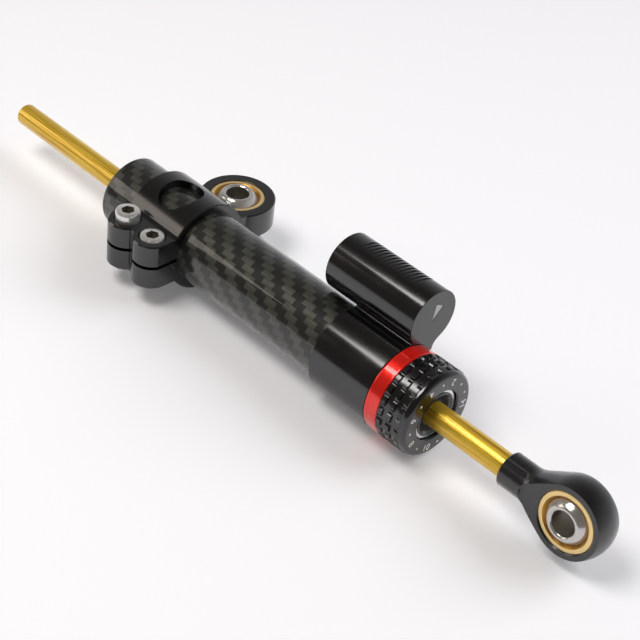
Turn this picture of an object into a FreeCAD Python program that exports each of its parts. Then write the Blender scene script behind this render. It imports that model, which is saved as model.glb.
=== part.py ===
"""Linear steering damper for a scooter: a through-rod hydraulic damper with a piggyback reservoir.

Millimetres, +Z up. The damper lies along X, with its rod eye towards +X. The origin is the centre of
the frame-side spherical bearing, whose bore runs along Z. Every sub-part is written to its own STEP.
"""
import FreeCAD, Part
import math
import os

V = FreeCAD.Vector

# Rod, tube and stroke
rod_d = 8.0
tube_od = 26.0
tube_wall = 1.3
flow_gap = 0.7
liner_wall = 1.0
stroke_in = 27.0
stroke_out = 48.0
end_clearance = 0.5
piston_length = 7.8
rear_gland_length = 15.3
tube_behind_clamp = 27.3
rod_behind_tube = 62.9
rod_tip_chamfer = 0.8
bump_gap = 1.0

# Head with the reservoir
clamp_to_head = 77.5
head_length = 23.6
head_od = 29.6
head_front_wall = 3.0
tube_socket = 9.0
reservoir_od = 19.4
reservoir_length = 36.8
reservoir_wall = 2.0
reservoir_front_wall = 5.0
reservoir_distance = 23.6
reservoir_angle = 61.6
neck_far_fillet = 4.5
neck_near_fillet = 0.6
fin_count = 15
fin_pitch = 1.6
fin_width = 0.8
fin_depth = 0.8
fin_start = 6.7
fin_lean = 12.0
fin_sweep = 165.0
oil_port_d = 2.4
index_width = 3.76
index_length = 5.83
index_depth = 0.25
index_drop = 0.99
index_lean = 63.7

# Adjuster collar, knob and its click stop
collar_width = 5.2
knob_proud = 0.1
knob_length = 11.1
band_count = 3
band_width = 1.9
band_gap = 1.65
band_groove_depth = 0.65
tooth_count = 24
tooth_height = 0.55
notch_r = 1.0
tooth_turn = 13.5
shoulder_drop = 0.3
round_length = 1.8
round_height = 1.5
round_steps = 8
recess_d = 17.6
recess_depth = 2.1
click_count = 15
click_circle_inset = 2.8
click_ball_d = 2.4
click_groove_depth = 0.6
click_groove_width = 2.4
click_pit_depth = 0.35
click_pit_floor_d = 0.8
spring_wire_d = 0.35
spring_turns = 5.5
nose_d = 15.2
nose_setback = 0.6
nose_countersink_d = 14.0
nose_countersink_depth = 0.8
sleeve_wall = 1.45
sleeve_in_knob = 2.5
snap_ring_od = 17.0
snap_ring_id = 14.4
snap_ring_thickness = 1.0
snap_ring_gap = 26.0

# Split clamp with its lug
clamp_wall = 2.7
clamp_width = 25.0
boss_half_height = 8.25
boss_r = 6.5
boss_reach = 3.1
boss_web_reach = 3.2
boss_fillet = 2.8
screw_spacing = 12.8
split_gap = 1.2
window_width = 13.2
window_length = 15.6
window_shift = 1.7
lug_reach = 8.13
lug_r = 13.1
lug_neck_width = 23.0
lug_fillet = 2.0
housing_width = 9.6

# Clamp screws
screw_d = 5.0
screw_head_d = 8.3
screw_head_height = 5.0
screw_head_proud = 0.7
rear_screw_turned_out = 2.6
counterbore_gap = 0.45
screw_bite = 6.6
hex_key = 4.0
hex_depth = 2.6

# Spherical bearings
ball_bore_d = 8.0
ball_d = 15.875
ball_width = 12.0
race_od = 19.0
race_width = 9.0
race_mouth_d = 15.8
race_mouth_depth = 1.0
ball_bore_chamfer = 0.5

# Rod eye
eye_reach = 24.55
shank_od = 11.15
shank_bore_depth = 13.0
eye_sphere_r = 12.4
eye_cone_angle = 30.0
eye_neck_fillet = 7.0
eye_flat_start = 10.0
eye_flat_run_out_r = 3.0
eye_turn = 85.0
grip_slot_width = 1.8
grip_slot_length = 8.4
grip_slot_depth = 0.45
grip_slot_angle = 124.0

# Bushes, seals and rings
bush_wall = 1.5
bush_length = 8.0
seal_wall = 2.2
seal_length = 4.0
seal_groove_width = 0.75
wiper_length = 3.0
wiper_dish = 1.1
wiper_floor_wall = 1.0
wiper_lip_wall = 0.4
o_ring_d = 1.8
o_ring_groove_width = 2.34
band_thickness = 0.9
band_length = 5.0
clip_thickness = 1.0
clip_height = 1.3
clip_groove_depth = 0.5
clip_gap = 50.0
reservoir_plug_length = 5.0
reservoir_piston_length = 8.0
fill_screw_d = 4.0
fill_screw_length = 4.5
fill_key = 2.0
flange_thickness = 2.0
spanner_hole_d = 1.8
liner_port_d = 2.2
liner_port_count = 4

# Clearances and edge breaks
running_fit = 0.05
guide_fit = 0.10
side_gap = 0.10
through_gap = 0.3
edge = 0.4
fine_edge = 0.2
ball_fit = 0.03
reach_past = 1.0

# Radii and stations worked out from the sizes above
rod_r = rod_d / 2
tube_r = tube_od / 2
tube_bore_r = tube_r - tube_wall
liner_r = tube_bore_r - flow_gap
bore_r = liner_r - liner_wall
head_r = head_od / 2
knob_r = head_r + knob_proud
nose_r = nose_d / 2
click_circle_r = head_r - click_circle_inset
sleeve_r = nose_r + running_fit + sleeve_wall
clamp_r = tube_r + clamp_wall
reservoir_r = reservoir_od / 2
reservoir_bore_r = reservoir_r - reservoir_wall
race_r = race_od / 2
ball_r = ball_d / 2
shank_r = shank_od / 2
seal_r = rod_r + seal_wall
bush_r = rod_r + bush_wall
housing_half = housing_width / 2

tube_rear = -tube_behind_clamp
head_rear = clamp_to_head
head_front = head_rear + head_length
tube_front = head_rear + tube_socket
collar_front = head_front + collar_width
knob_rear = collar_front + side_gap
knob_front = knob_rear + knob_length
recess_floor = knob_front - recess_depth
nose_front = knob_front - nose_setback
snap_rear = recess_floor + side_gap
nose_countersink_floor = nose_front - nose_countersink_depth
groove_r = knob_r - band_groove_depth
shoulder_r = knob_r - shoulder_drop
round_start = knob_front - round_length
bands_end = knob_rear + band_count * band_width + (band_count - 1) * band_gap
rear_gland_inner = tube_rear + rear_gland_length
clip_reach = side_gap + clip_thickness
piston_rear = rear_gland_inner + stroke_in + end_clearance + clip_reach
piston_front = piston_rear + piston_length
front_gland_inner = piston_front + clip_reach + stroke_out + end_clearance
gland_shoulder = head_front - head_front_wall
shank_start = knob_front + stroke_in + bump_gap
eye_x = shank_start + eye_reach
eye_flats_x = shank_start + eye_flat_start
rod_rear = tube_rear - rod_behind_tube
rod_front = shank_start + shank_bore_depth
lug_y = clamp_r + lug_reach
screw_y = -(clamp_r + boss_reach)
screw_x = screw_spacing / 2
screw_seat = boss_half_height + screw_head_proud - screw_head_height
screw_lifts = [(-screw_x, rear_screw_turned_out), (screw_x, 0.0)]
reservoir_rear = head_front - reservoir_length
reservoir_y = reservoir_distance * math.cos(math.radians(reservoir_angle))
reservoir_z = reservoir_distance * math.sin(math.radians(reservoir_angle))
eye_axis = V(0, -math.sin(math.radians(eye_turn)), math.cos(math.radians(eye_turn)))

X_AXIS = V(1, 0, 0)
Z_AXIS = V(0, 0, 1)
ORIGIN = V(0, 0, 0)


def turned(points, y=0.0, z=0.0):
    """A solid turned about a line parallel to X, from a closed outline of (x, radius) points."""
    corners = [V(x, y, z + r) for x, r in points]
    face = Part.Face(Part.makePolygon(corners + corners[:1]))
    return face.revolve(V(0, y, z), X_AXIS, 360)


def rod_along_x(r, x0, x1, y=0.0, z=0.0):
    return Part.makeCylinder(r, x1 - x0, V(x0, y, z), X_AXIS)


def ring_along_x(r_out, r_in, x0, x1, chamfer=0.0, y=0.0, z=0.0):
    """A ring about a line parallel to X, its outer edges broken by a chamfer."""
    c = chamfer
    outline = [(x0, r_in), (x0, r_out - c), (x0 + c, r_out), (x1 - c, r_out), (x1, r_out - c), (x1, r_in)]
    if not c:
        outline = [(x0, r_in), (x0, r_out), (x1, r_out), (x1, r_in)]
    return turned(outline, y, z)


def post_along_z(r, x, y, half_height, chamfer):
    """A round post centred on z = 0, its two rims broken by a chamfer."""
    h = half_height
    c = chamfer
    corners = [V(0, 0, -h), V(r - c, 0, -h), V(r, 0, c - h), V(r, 0, h - c), V(r - c, 0, h), V(0, 0, h)]
    post = Part.Face(Part.makePolygon(corners + corners[:1])).revolve(ORIGIN, Z_AXIS, 360)
    post.translate(V(x, y, 0))
    return post


def block(x0, x1, y0, y1, z0, z1):
    return Part.makeBox(x1 - x0, y1 - y0, z1 - z0, V(x0, y0, z0))


def turn_about_x(shape, angle):
    turned_copy = shape.copy()
    turned_copy.rotate(ORIGIN, X_AXIS, angle)
    return turned_copy


def around_x(shape, count):
    """Copies of a shape, evenly spaced about X."""
    return [turn_about_x(shape, 360.0 * i / count) for i in range(count)]


def hexagon_along(across_flats, depth, base, direction):
    """A hexagonal prism, for a key socket."""
    r = across_flats / math.sqrt(3)
    corners = [V(r * math.cos(math.radians(60 * i)), r * math.sin(math.radians(60 * i)), 0) for i in range(6)]
    prism = Part.Face(Part.makePolygon(corners + corners[:1])).extrude(V(0, 0, depth))
    prism.Placement = FreeCAD.Placement(base, FreeCAD.Rotation(Z_AXIS, direction))
    return prism


def straight_edges_at(shape, direction, places, reach=0.05):
    """The straight edges along one direction whose middle lies at one of the given places."""
    found = []
    for e in shape.Edges:
        if not isinstance(e.Curve, Part.Line) or abs(abs(e.Curve.Direction.dot(direction)) - 1) > 1e-6:
            continue
        middle = e.CenterOfMass
        across = middle - direction * middle.dot(direction)
        if any((across - place).Length < reach for place in places):
            found.append(e)
    return found


def one_solid(shape):
    return shape.removeSplitter().Solids[0]


def o_ring(r_touch, x, y=0.0, z=0.0):
    """An O-ring whose outside just reaches the bore that it seals."""
    wire_r = o_ring_d / 2
    return Part.makeTorus(r_touch - wire_r, wire_r, V(x, y, z), X_AXIS)


def o_ring_groove(r_touch, x, y=0.0, z=0.0):
    half = o_ring_groove_width / 2
    return ring_along_x(r_touch + reach_past, r_touch - o_ring_d, x - half, x + half, 0.0, y, z)


def carbon_tube():
    c = fine_edge
    outline = [(tube_rear, tube_bore_r), (tube_rear, tube_r - c), (tube_rear + c, tube_r)]
    outline += [(tube_front, tube_r), (tube_front, tube_bore_r)]
    return turned(outline)


def cylinder_liner():
    """The inner sleeve that the piston runs in, with oil ports beside the rear gland."""
    liner = ring_along_x(liner_r, bore_r, tube_rear + flange_thickness, tube_front)
    port_x = rear_gland_inner + liner_port_d
    port = Part.makeCylinder(liner_port_d / 2, liner_r + reach_past, V(port_x, 0, 0), Z_AXIS)
    return liner.cut(Part.makeCompound(around_x(port, liner_port_count)))


def reservoir_fin_cuts():
    """Cooling grooves on the far side of the reservoir: each cut is set off centre, so it fades out."""
    low = reservoir_r
    high = reservoir_r + 2 * fin_depth
    y = reservoir_y - fin_depth * math.cos(math.radians(fin_lean))
    z = reservoir_z - fin_depth * math.sin(math.radians(fin_lean))
    cuts = []
    for i in range(fin_count):
        x0 = reservoir_rear + fin_start + i * fin_pitch
        x1 = x0 + fin_width
        corners = [V(x0, 0, low), V(x1, 0, low), V(x1, 0, high), V(x0, 0, high)]
        cut = Part.Face(Part.makePolygon(corners + corners[:1])).revolve(ORIGIN, X_AXIS, -fin_sweep)
        cut = turn_about_x(cut, fin_lean)
        cut.translate(V(0, y, z))
        cuts.append(cut)
    return cuts


def index_mark():
    """The pointer above the dial: a triangle that points at the knob."""
    half = index_width / 2
    tip = V(0, 0, -index_drop)
    corners = [tip, tip + V(0, -half, index_length), tip + V(0, half, index_length)]
    mark = Part.Face(Part.makePolygon(corners + corners[:1])).extrude(V(index_depth + reach_past, 0, 0))
    mark.rotate(ORIGIN, X_AXIS, index_lean - 90)
    mark.translate(V(head_front - index_depth, reservoir_y, reservoir_z))
    return mark


def fillet_points(fillet_r, side):
    """Where a fillet beside the neck touches the head and the reservoir, and its point nearest the neck."""
    d = reservoir_distance
    r = fillet_r + max(0.0, (d - head_r - reservoir_r) / 2)
    up = (d ** 2 + (head_r + r) ** 2 - (reservoir_r + r) ** 2) / (2 * d)
    out = math.sqrt((head_r + r) ** 2 - up ** 2)
    centre = V(head_rear, side * out, up)
    head_centre = V(head_rear, 0, 0)
    pod_centre = V(head_rear, 0, d)
    head_touch = head_centre + (centre - head_centre) * (head_r / (head_r + r))
    pod_touch = pod_centre + (centre - pod_centre) * (reservoir_r / (reservoir_r + r))
    return head_touch, V(head_rear, side * (out - r), up), pod_touch


def head_blank():
    """The head's outline with its neck and reservoir, as one plate with broken edges."""
    far_head, far_neck, far_pod = fillet_points(neck_far_fillet, 1)
    near_head, near_neck, near_pod = fillet_points(neck_near_fillet, -1)
    arcs = [Part.Arc(far_head, V(head_rear, 0, -head_r), near_head),
            Part.Arc(near_head, near_neck, near_pod),
            Part.Arc(near_pod, V(head_rear, 0, reservoir_distance + reservoir_r), far_pod),
            Part.Arc(far_pod, far_neck, far_head)]
    outline = Part.Wire([a.toShape() for a in arcs])
    plate = Part.Face(outline).extrude(V(head_length, 0, 0))
    front = [e for e in plate.Edges if e.BoundBox.XMin > head_front - edge]
    plate = plate.makeChamfer(fine_edge, front)
    return turn_about_x(plate, reservoir_angle - 90)


def head_block():
    """The front head, machined in one piece with the reservoir and the neck between them."""
    c = edge
    pod = turned([(reservoir_rear, 0), (reservoir_rear, reservoir_r - c), (reservoir_rear + c, reservoir_r),
                  (head_rear, reservoir_r), (head_rear, 0)], reservoir_y, reservoir_z)
    body = head_blank().fuse(pod).removeSplitter()
    tools = [rod_along_x(tube_r, head_rear - reach_past, tube_front),
             rod_along_x(bore_r, head_rear, gland_shoulder),
             rod_along_x(sleeve_r + guide_fit, head_rear, head_front + reach_past),
             rod_along_x(reservoir_bore_r, reservoir_rear - reach_past, head_front - reservoir_front_wall,
                         reservoir_y, reservoir_z),
             index_mark()]
    port_x = (tube_front + gland_shoulder) / 2
    port = Part.makeCylinder(oil_port_d / 2, reservoir_distance, V(port_x, 0, 0), Z_AXIS)
    tools.append(turn_about_x(port, reservoir_angle - 90))
    return one_solid(body.cut(tools + reservoir_fin_cuts()))


def reservoir_plug():
    """The end plug of the reservoir, with its O-ring groove and the filling hole."""
    x1 = reservoir_rear + reservoir_plug_length
    plug = ring_along_x(reservoir_bore_r, fill_screw_d / 2, reservoir_rear, x1, 0.0, reservoir_y, reservoir_z)
    return plug.cut(o_ring_groove(reservoir_bore_r, (reservoir_rear + x1) / 2, reservoir_y, reservoir_z))


def reservoir_plug_o_ring():
    x = reservoir_rear + reservoir_plug_length / 2
    return o_ring(reservoir_bore_r, x, reservoir_y, reservoir_z)


def fill_screw():
    """The grub screw that closes the filling hole."""
    x0 = reservoir_rear + fine_edge
    screw = rod_along_x(fill_screw_d / 2, x0, x0 + fill_screw_length, reservoir_y, reservoir_z)
    socket = hexagon_along(fill_key, fill_screw_length / 2, V(x0, reservoir_y, reservoir_z), X_AXIS)
    return screw.cut(socket)


def reservoir_piston_x():
    """The floating piston rests in the middle of its bore."""
    oil_end = head_front - reservoir_front_wall
    gas_end = reservoir_rear + reservoir_plug_length
    return (oil_end + gas_end - reservoir_piston_length) / 2


def reservoir_piston():
    """The floating piston that keeps the oil and the gas charge apart, hollowed on its gas side."""
    x0 = reservoir_piston_x()
    x1 = x0 + reservoir_piston_length
    r = reservoir_bore_r - running_fit
    cup_r = r - reservoir_wall
    cup_x = x0 + reservoir_piston_length / 3
    piston = turned([(x0, cup_r), (x0, r - edge), (x0 + edge, r), (x1 - edge, r), (x1, r - edge), (x1, 0),
                     (cup_x, 0), (cup_x, cup_r)], reservoir_y, reservoir_z)
    return piston.cut(o_ring_groove(r, (cup_x + x1) / 2, reservoir_y, reservoir_z))


def reservoir_piston_o_ring():
    x0 = reservoir_piston_x()
    x = x0 + reservoir_piston_length * 2 / 3
    return o_ring(reservoir_bore_r - running_fit, x, reservoir_y, reservoir_z)


def rear_gland():
    """The rear end cap: a flange that closes the tube, and a body that guides and seals the rod."""
    c = fine_edge
    outline = [(tube_rear, 0), (tube_rear, tube_bore_r - c), (tube_rear + c, tube_bore_r),
               (tube_rear + flange_thickness, tube_bore_r), (tube_rear + flange_thickness, bore_r),
               (rear_gland_inner, bore_r), (rear_gland_inner, 0)]
    gland = turned(outline)
    seal_depth = tube_rear + wiper_length + seal_length
    hole = Part.makeCylinder(spanner_hole_d / 2, flange_thickness, V(tube_rear, 0, 0), X_AXIS)
    hole.translate(V(0, (seal_r + tube_bore_r) / 2, 0))
    tools = [rod_along_x(rod_r + through_gap, tube_rear, rear_gland_inner),
             rod_along_x(seal_r, tube_rear - reach_past, seal_depth),
             rod_along_x(bush_r, rear_gland_inner - bush_length, rear_gland_inner + reach_past),
             o_ring_groove(bore_r, rear_o_ring_x())]
    return one_solid(gland.cut(tools + around_x(hole, 2)))


def rear_o_ring_x():
    return (tube_rear + flange_thickness + rear_gland_inner) / 2


def front_o_ring_x():
    return front_gland_inner + (tube_front - front_gland_inner) / 2


def front_gland():
    """The front gland: a body in the liner and the head, and a nose that carries the knob."""
    c = fine_edge
    mouth_r = nose_countersink_d / 2
    outline = [(front_gland_inner, 0), (front_gland_inner, bore_r), (gland_shoulder, bore_r),
               (gland_shoulder, nose_r), (nose_front - c, nose_r), (nose_front, nose_r - c),
               (nose_front, mouth_r), (nose_countersink_floor, seal_r), (nose_countersink_floor, 0)]
    seal_depth = nose_countersink_floor - wiper_length - seal_length
    tools = [rod_along_x(rod_r + through_gap, front_gland_inner, nose_front),
             rod_along_x(seal_r, seal_depth, nose_front + reach_past),
             rod_along_x(bush_r, front_gland_inner - reach_past, front_gland_inner + bush_length),
             o_ring_groove(bore_r, front_o_ring_x()),
             ring_along_x(nose_r + reach_past, snap_ring_id / 2, snap_rear, snap_rear + snap_ring_thickness)]
    return one_solid(turned(outline).cut(tools))


def rod_bush(x0):
    return ring_along_x(bush_r, rod_r + running_fit, x0, x0 + bush_length)


def rod_seal(x0):
    """A cup seal with a groove in its pressure face."""
    seal = ring_along_x(seal_r, rod_r + running_fit, x0, x0 + seal_length)
    middle = (seal_r + rod_r) / 2
    half = seal_groove_width / 2
    groove = ring_along_x(middle + half, middle - half, x0 - reach_past, x0 + seal_length / 2)
    return seal.cut(groove)


def wiper(x_in, x_out):
    """A rod wiper: a ring with a dished outer face and a thin lip along the rod. x_out is the outer end."""
    way = 1 if x_out > x_in else -1
    inner = rod_r + running_fit
    floor = x_out - way * wiper_dish
    lip = x_out - way * wiper_dish / 2
    outline = [(x_in, inner), (x_in, seal_r), (x_out, seal_r), (floor, inner + wiper_floor_wall),
               (lip, inner + wiper_lip_wall), (lip, inner)]
    return turned(outline)


def adjuster_collar():
    """The bright ring behind the knob, with the pocket of the click stop."""
    ring = turned([(head_front, sleeve_r + guide_fit), (head_front, head_r - edge),
                   (head_front + edge, head_r), (collar_front - fine_edge, head_r),
                   (collar_front, head_r - fine_edge), (collar_front, sleeve_r + guide_fit)])
    pocket = rod_along_x(click_ball_d / 2 + running_fit, head_front + edge, collar_front + reach_past,
                         click_circle_r)
    return ring.cut(pocket)


def click_ball_x():
    return collar_front + side_gap + click_groove_depth - running_fit - click_ball_d / 2


def click_ball():
    return Part.makeSphere(click_ball_d / 2, V(click_ball_x(), click_circle_r, 0))


def click_spring():
    """The small coil spring behind the click ball: one wire of even pitch."""
    wire_r = spring_wire_d / 2
    coil_r = click_ball_d / 2 - spring_wire_d
    x0 = head_front + edge + wire_r
    ball_back = click_ball_x() - math.sqrt((click_ball_d / 2) ** 2 - coil_r ** 2)
    length = ball_back - wire_r - running_fit - x0
    helix = Part.makeHelix(length / spring_turns, length, coil_r)
    start = Part.Wire([Part.makeCircle(wire_r, V(coil_r, 0, 0), V(0, 1, 0))])
    coil = Part.Wire(helix.Edges).makePipeShell([start], True, True)
    coil.Placement = FreeCAD.Placement(V(x0, click_circle_r, 0), FreeCAD.Rotation(Z_AXIS, X_AXIS))
    return coil


def knob_outline():
    """The knob's section: toothed bands, plain grooves between them, a rounded rim and a recess."""
    c = fine_edge
    points = [(knob_rear, sleeve_r), (knob_rear, knob_r - c)]
    for i in range(band_count):
        x0 = knob_rear + i * (band_width + band_gap)
        x1 = x0 + band_width
        floor_r = groove_r if i < band_count - 1 else shoulder_r
        points += [(x0 + c, knob_r), (x1 - c, knob_r), (x1, floor_r)]
        if i < band_count - 1:
            points += [(x1 + band_gap, groove_r)]
    for i in range(round_steps + 1):
        a = math.radians(90.0 * i / round_steps)
        points.append((round_start + round_length * math.sin(a), shoulder_r - round_height * (1 - math.cos(a))))
    lip = recess_d / 2
    points += [(knob_front, lip + c), (knob_front - c, lip), (recess_floor, lip)]
    points += [(recess_floor, nose_r + guide_fit), (knob_rear + sleeve_in_knob, nose_r + guide_fit)]
    points += [(knob_rear + sleeve_in_knob, sleeve_r)]
    return points


def adjuster_knob():
    knob = turned(knob_outline())
    notch = rod_along_x(notch_r, knob_rear - reach_past, bands_end, knob_r - tooth_height + notch_r)
    notches = [turn_about_x(n, tooth_turn) for n in around_x(notch, tooth_count)]
    half = click_groove_width / 2
    track_r = click_circle_r
    track = ring_along_x(track_r + half, track_r - half, knob_rear - reach_past, knob_rear + click_groove_depth)
    pit_base = V(knob_rear + click_groove_depth, track_r, 0)
    pit = Part.makeCone(half, click_pit_floor_d / 2, click_pit_depth, pit_base, X_AXIS)
    return one_solid(knob.cut(notches + [track] + around_x(pit, click_count)))


def metering_sleeve():
    """The rotary valve sleeve that the knob turns: it covers the oil port in the head."""
    x0 = gland_shoulder + side_gap
    return ring_along_x(sleeve_r, nose_r + running_fit, x0, knob_rear + sleeve_in_knob)


def knob_snap_ring():
    """The open flat ring in the nose's groove that keeps the knob on."""
    x1 = snap_rear + snap_ring_thickness
    ring = ring_along_x(snap_ring_od / 2, snap_ring_id / 2, snap_rear, x1)
    mouth = Part.makeCylinder(snap_ring_od, snap_ring_thickness, V(snap_rear, 0, 0), X_AXIS, snap_ring_gap)
    return ring.cut(mouth)


def piston():
    """The piston on the rod, grooved for its wear band."""
    r = bore_r - 3 * running_fit
    c = edge
    body = turned([(piston_rear, rod_r + running_fit), (piston_rear, r - c), (piston_rear + c, r),
                   (piston_front - c, r), (piston_front, r - c), (piston_front, rod_r + running_fit)])
    middle = (piston_rear + piston_front) / 2
    half = band_length / 2
    groove = ring_along_x(r + reach_past, bore_r - running_fit - band_thickness, middle - half, middle + half)
    return body.cut(groove)


def piston_band():
    middle = (piston_rear + piston_front) / 2
    half = band_length / 2
    r = bore_r - running_fit
    return ring_along_x(r, r - band_thickness, middle - half, middle + half)


def piston_clip_starts():
    return [piston_rear - clip_reach, piston_front + side_gap]


def piston_clips():
    """Two open rings in the rod's grooves, one each side of the piston."""
    clips = []
    for x0 in piston_clip_starts():
        ring = ring_along_x(rod_r + clip_height, rod_r - clip_groove_depth, x0, x0 + clip_thickness)
        wedge = Part.makeCylinder(rod_r * 2, clip_thickness, V(x0, 0, 0), X_AXIS, clip_gap)
        clips.append(ring.cut(wedge))
    return Part.makeCompound(clips)


def damper_rod():
    """The rod that runs through both ends of the damper, its far tip chamfered."""
    c = rod_tip_chamfer
    rod = turned([(rod_rear, 0), (rod_rear, rod_r - c), (rod_rear + c / 2, rod_r - c / 4),
                  (rod_rear + c, rod_r), (rod_front, rod_r), (rod_front, 0)])
    grooves = [ring_along_x(rod_r + reach_past, rod_r - clip_groove_depth, x0, x0 + clip_thickness)
               for x0 in piston_clip_starts()]
    return rod.cut(grooves)


def eye_profile():
    """The rod eye's turned outline: shank, rounded neck, cone and ball end."""
    lean = math.radians(eye_cone_angle)
    touch_x = eye_x - eye_sphere_r * math.sin(lean)
    touch_r = eye_sphere_r * math.cos(lean)
    corner_x = touch_x - (touch_r - shank_r) / math.tan(lean)
    setback = eye_neck_fillet * math.tan(lean / 2)
    bend_start = V(corner_x - setback, 0, shank_r)
    bend_end = V(corner_x + setback * math.cos(lean), 0, shank_r + setback * math.sin(lean))
    bend_mid = V(bend_start.x + eye_neck_fillet * math.sin(lean / 2), 0,
                 shank_r + eye_neck_fillet * (1 - math.cos(lean / 2)))
    ball_mid = V(eye_x + eye_sphere_r * math.sin(lean), 0, touch_r)
    start = V(shank_start + edge, 0, shank_r)
    edges = [Part.LineSegment(V(shank_start, 0, 0), V(shank_start, 0, shank_r - edge)),
             Part.LineSegment(V(shank_start, 0, shank_r - edge), start),
             Part.LineSegment(start, bend_start),
             Part.Arc(bend_start, bend_mid, bend_end),
             Part.LineSegment(bend_end, V(touch_x, 0, touch_r)),
             Part.Arc(V(touch_x, 0, touch_r), ball_mid, V(eye_x + eye_sphere_r, 0, 0)),
             Part.LineSegment(V(eye_x + eye_sphere_r, 0, 0), V(shank_start, 0, 0))]
    return Part.Face(Part.Wire([e.toShape() for e in edges]))


def grip_slot():
    """The shallow slot milled into the shank: open at the shank's end, round at the other."""
    half = grip_slot_width / 2
    x1 = shank_start + grip_slot_length - half
    floor = shank_r - grip_slot_depth
    slot = block(shank_start - reach_past, x1, -half, half, floor, shank_r + reach_past)
    slot = slot.fuse(Part.makeCylinder(half, grip_slot_depth + reach_past, V(x1, 0, floor), Z_AXIS))
    return turn_about_x(slot, grip_slot_angle - 90)


def eye_flat():
    """What is milled off one side of the eye, with the cutter's radius where the flat runs out."""
    size = 3 * eye_sphere_r
    r = eye_flat_run_out_r
    flat = block(eye_flats_x, eye_x + size, -size, size, housing_half, size)
    run_out = Part.makeCylinder(r, 2 * size, V(eye_flats_x, -size, housing_half + r), V(0, 1, 0))
    return flat.fuse(run_out)


def rod_eye():
    """The rod end: a ball-shaped eye with two flats, bored for its bearing."""
    body = eye_profile().revolve(ORIGIN, X_AXIS, 360)
    far = 3 * eye_sphere_r
    centre = V(eye_x, 0, 0)
    bore = Part.makeCylinder(race_r, 2 * far, centre - eye_axis * far, eye_axis)
    leads = [Part.makeCone(race_r, race_r + edge, edge, centre + way * (housing_half - edge), way)
             for way in (eye_axis, eye_axis * -1)]
    tools = [turn_about_x(eye_flat(), eye_turn), turn_about_x(eye_flat(), eye_turn + 180), bore]
    tools += leads + [rod_along_x(rod_r, shank_start - reach_past, rod_front), grip_slot()]
    return one_solid(body.cut(tools))


def bearing_race(centre, axis):
    """The outer race of a spherical bearing: a ring hollowed to the ball, with a wide mouth at each end."""
    h = race_width / 2
    c = edge
    corners = [V(0, 0, -h), V(race_r - c, 0, -h), V(race_r, 0, c - h), V(race_r, 0, h - c),
               V(race_r - c, 0, h), V(0, 0, h)]
    ring = Part.Face(Part.makePolygon(corners + corners[:1])).revolve(ORIGIN, Z_AXIS, 360)
    mouth_r = race_mouth_d / 2
    floor_r = math.sqrt((ball_r + ball_fit) ** 2 - (h - race_mouth_depth) ** 2)
    upper = Part.makeCone(floor_r, mouth_r, race_mouth_depth, V(0, 0, h - race_mouth_depth), Z_AXIS)
    lower = Part.makeCone(floor_r, mouth_r, race_mouth_depth, V(0, 0, race_mouth_depth - h), Z_AXIS * -1)
    race = ring.cut([Part.makeSphere(ball_r + ball_fit), upper, lower])
    race.Placement = FreeCAD.Placement(centre, FreeCAD.Rotation(Z_AXIS, axis))
    return race


def bearing_ball(centre, axis):
    """The ball of a spherical bearing: cut flat at both ends and bored, its bore chamfered."""
    h = ball_width / 2
    bore_half = ball_bore_d / 2
    c = ball_bore_chamfer
    ball = Part.makeSphere(ball_r).common(Part.makeCylinder(ball_r, ball_width, V(0, 0, -h)))
    bore = Part.makeCylinder(bore_half, 2 * ball_r, V(0, 0, -ball_r))
    upper = Part.makeCone(bore_half, bore_half + c, c, V(0, 0, h - c), Z_AXIS)
    lower = Part.makeCone(bore_half, bore_half + c, c, V(0, 0, c - h), Z_AXIS * -1)
    ball = one_solid(ball.cut([bore, upper, lower]))
    ball.Placement = FreeCAD.Placement(centre, FreeCAD.Rotation(Z_AXIS, axis))
    return ball


def clamp_blank():
    """The clamp before boring: ring, screw bosses with the web between them, and the lug."""
    half = clamp_width / 2
    c = edge
    ring = turned([(-half, 0), (-half, clamp_r - c), (c - half, clamp_r), (half - c, clamp_r),
                   (half, clamp_r - c), (half, 0)])
    h = boss_half_height
    bosses = [post_along_z(boss_r, s * screw_x, screw_y, h, c) for s in (-1, 1)]
    slab = block(-half, half, screw_y, -tube_r / 2, -h, h)
    web = block(-screw_x, screw_x, screw_y - boss_web_reach, screw_y, -h, h)
    trim = block(-half, half, 2 * screw_y, 0, -2 * h, 2 * h)
    bosses = [b.common(trim) for b in bosses]
    neck = lug_neck_width / 2
    lug = post_along_z(lug_r, 0, lug_y, housing_half, c)
    lug_neck = block(-neck, neck, tube_r / 2, lug_y, -housing_half, housing_half)
    return ring.fuse(bosses + [slab, web, lug, lug_neck]).removeSplitter()


def clamp_corners():
    """The inside corners to round: where the ring meets the bosses and the lug's neck."""
    h = boss_half_height
    boss_side = -math.sqrt(clamp_r ** 2 - h ** 2)
    lug_side = math.sqrt(clamp_r ** 2 - housing_half ** 2)
    boss_places = [V(0, boss_side, z) for z in (-h, h)]
    lug_places = [V(0, lug_side, z) for z in (-housing_half, housing_half)]
    return boss_places, lug_places


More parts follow.
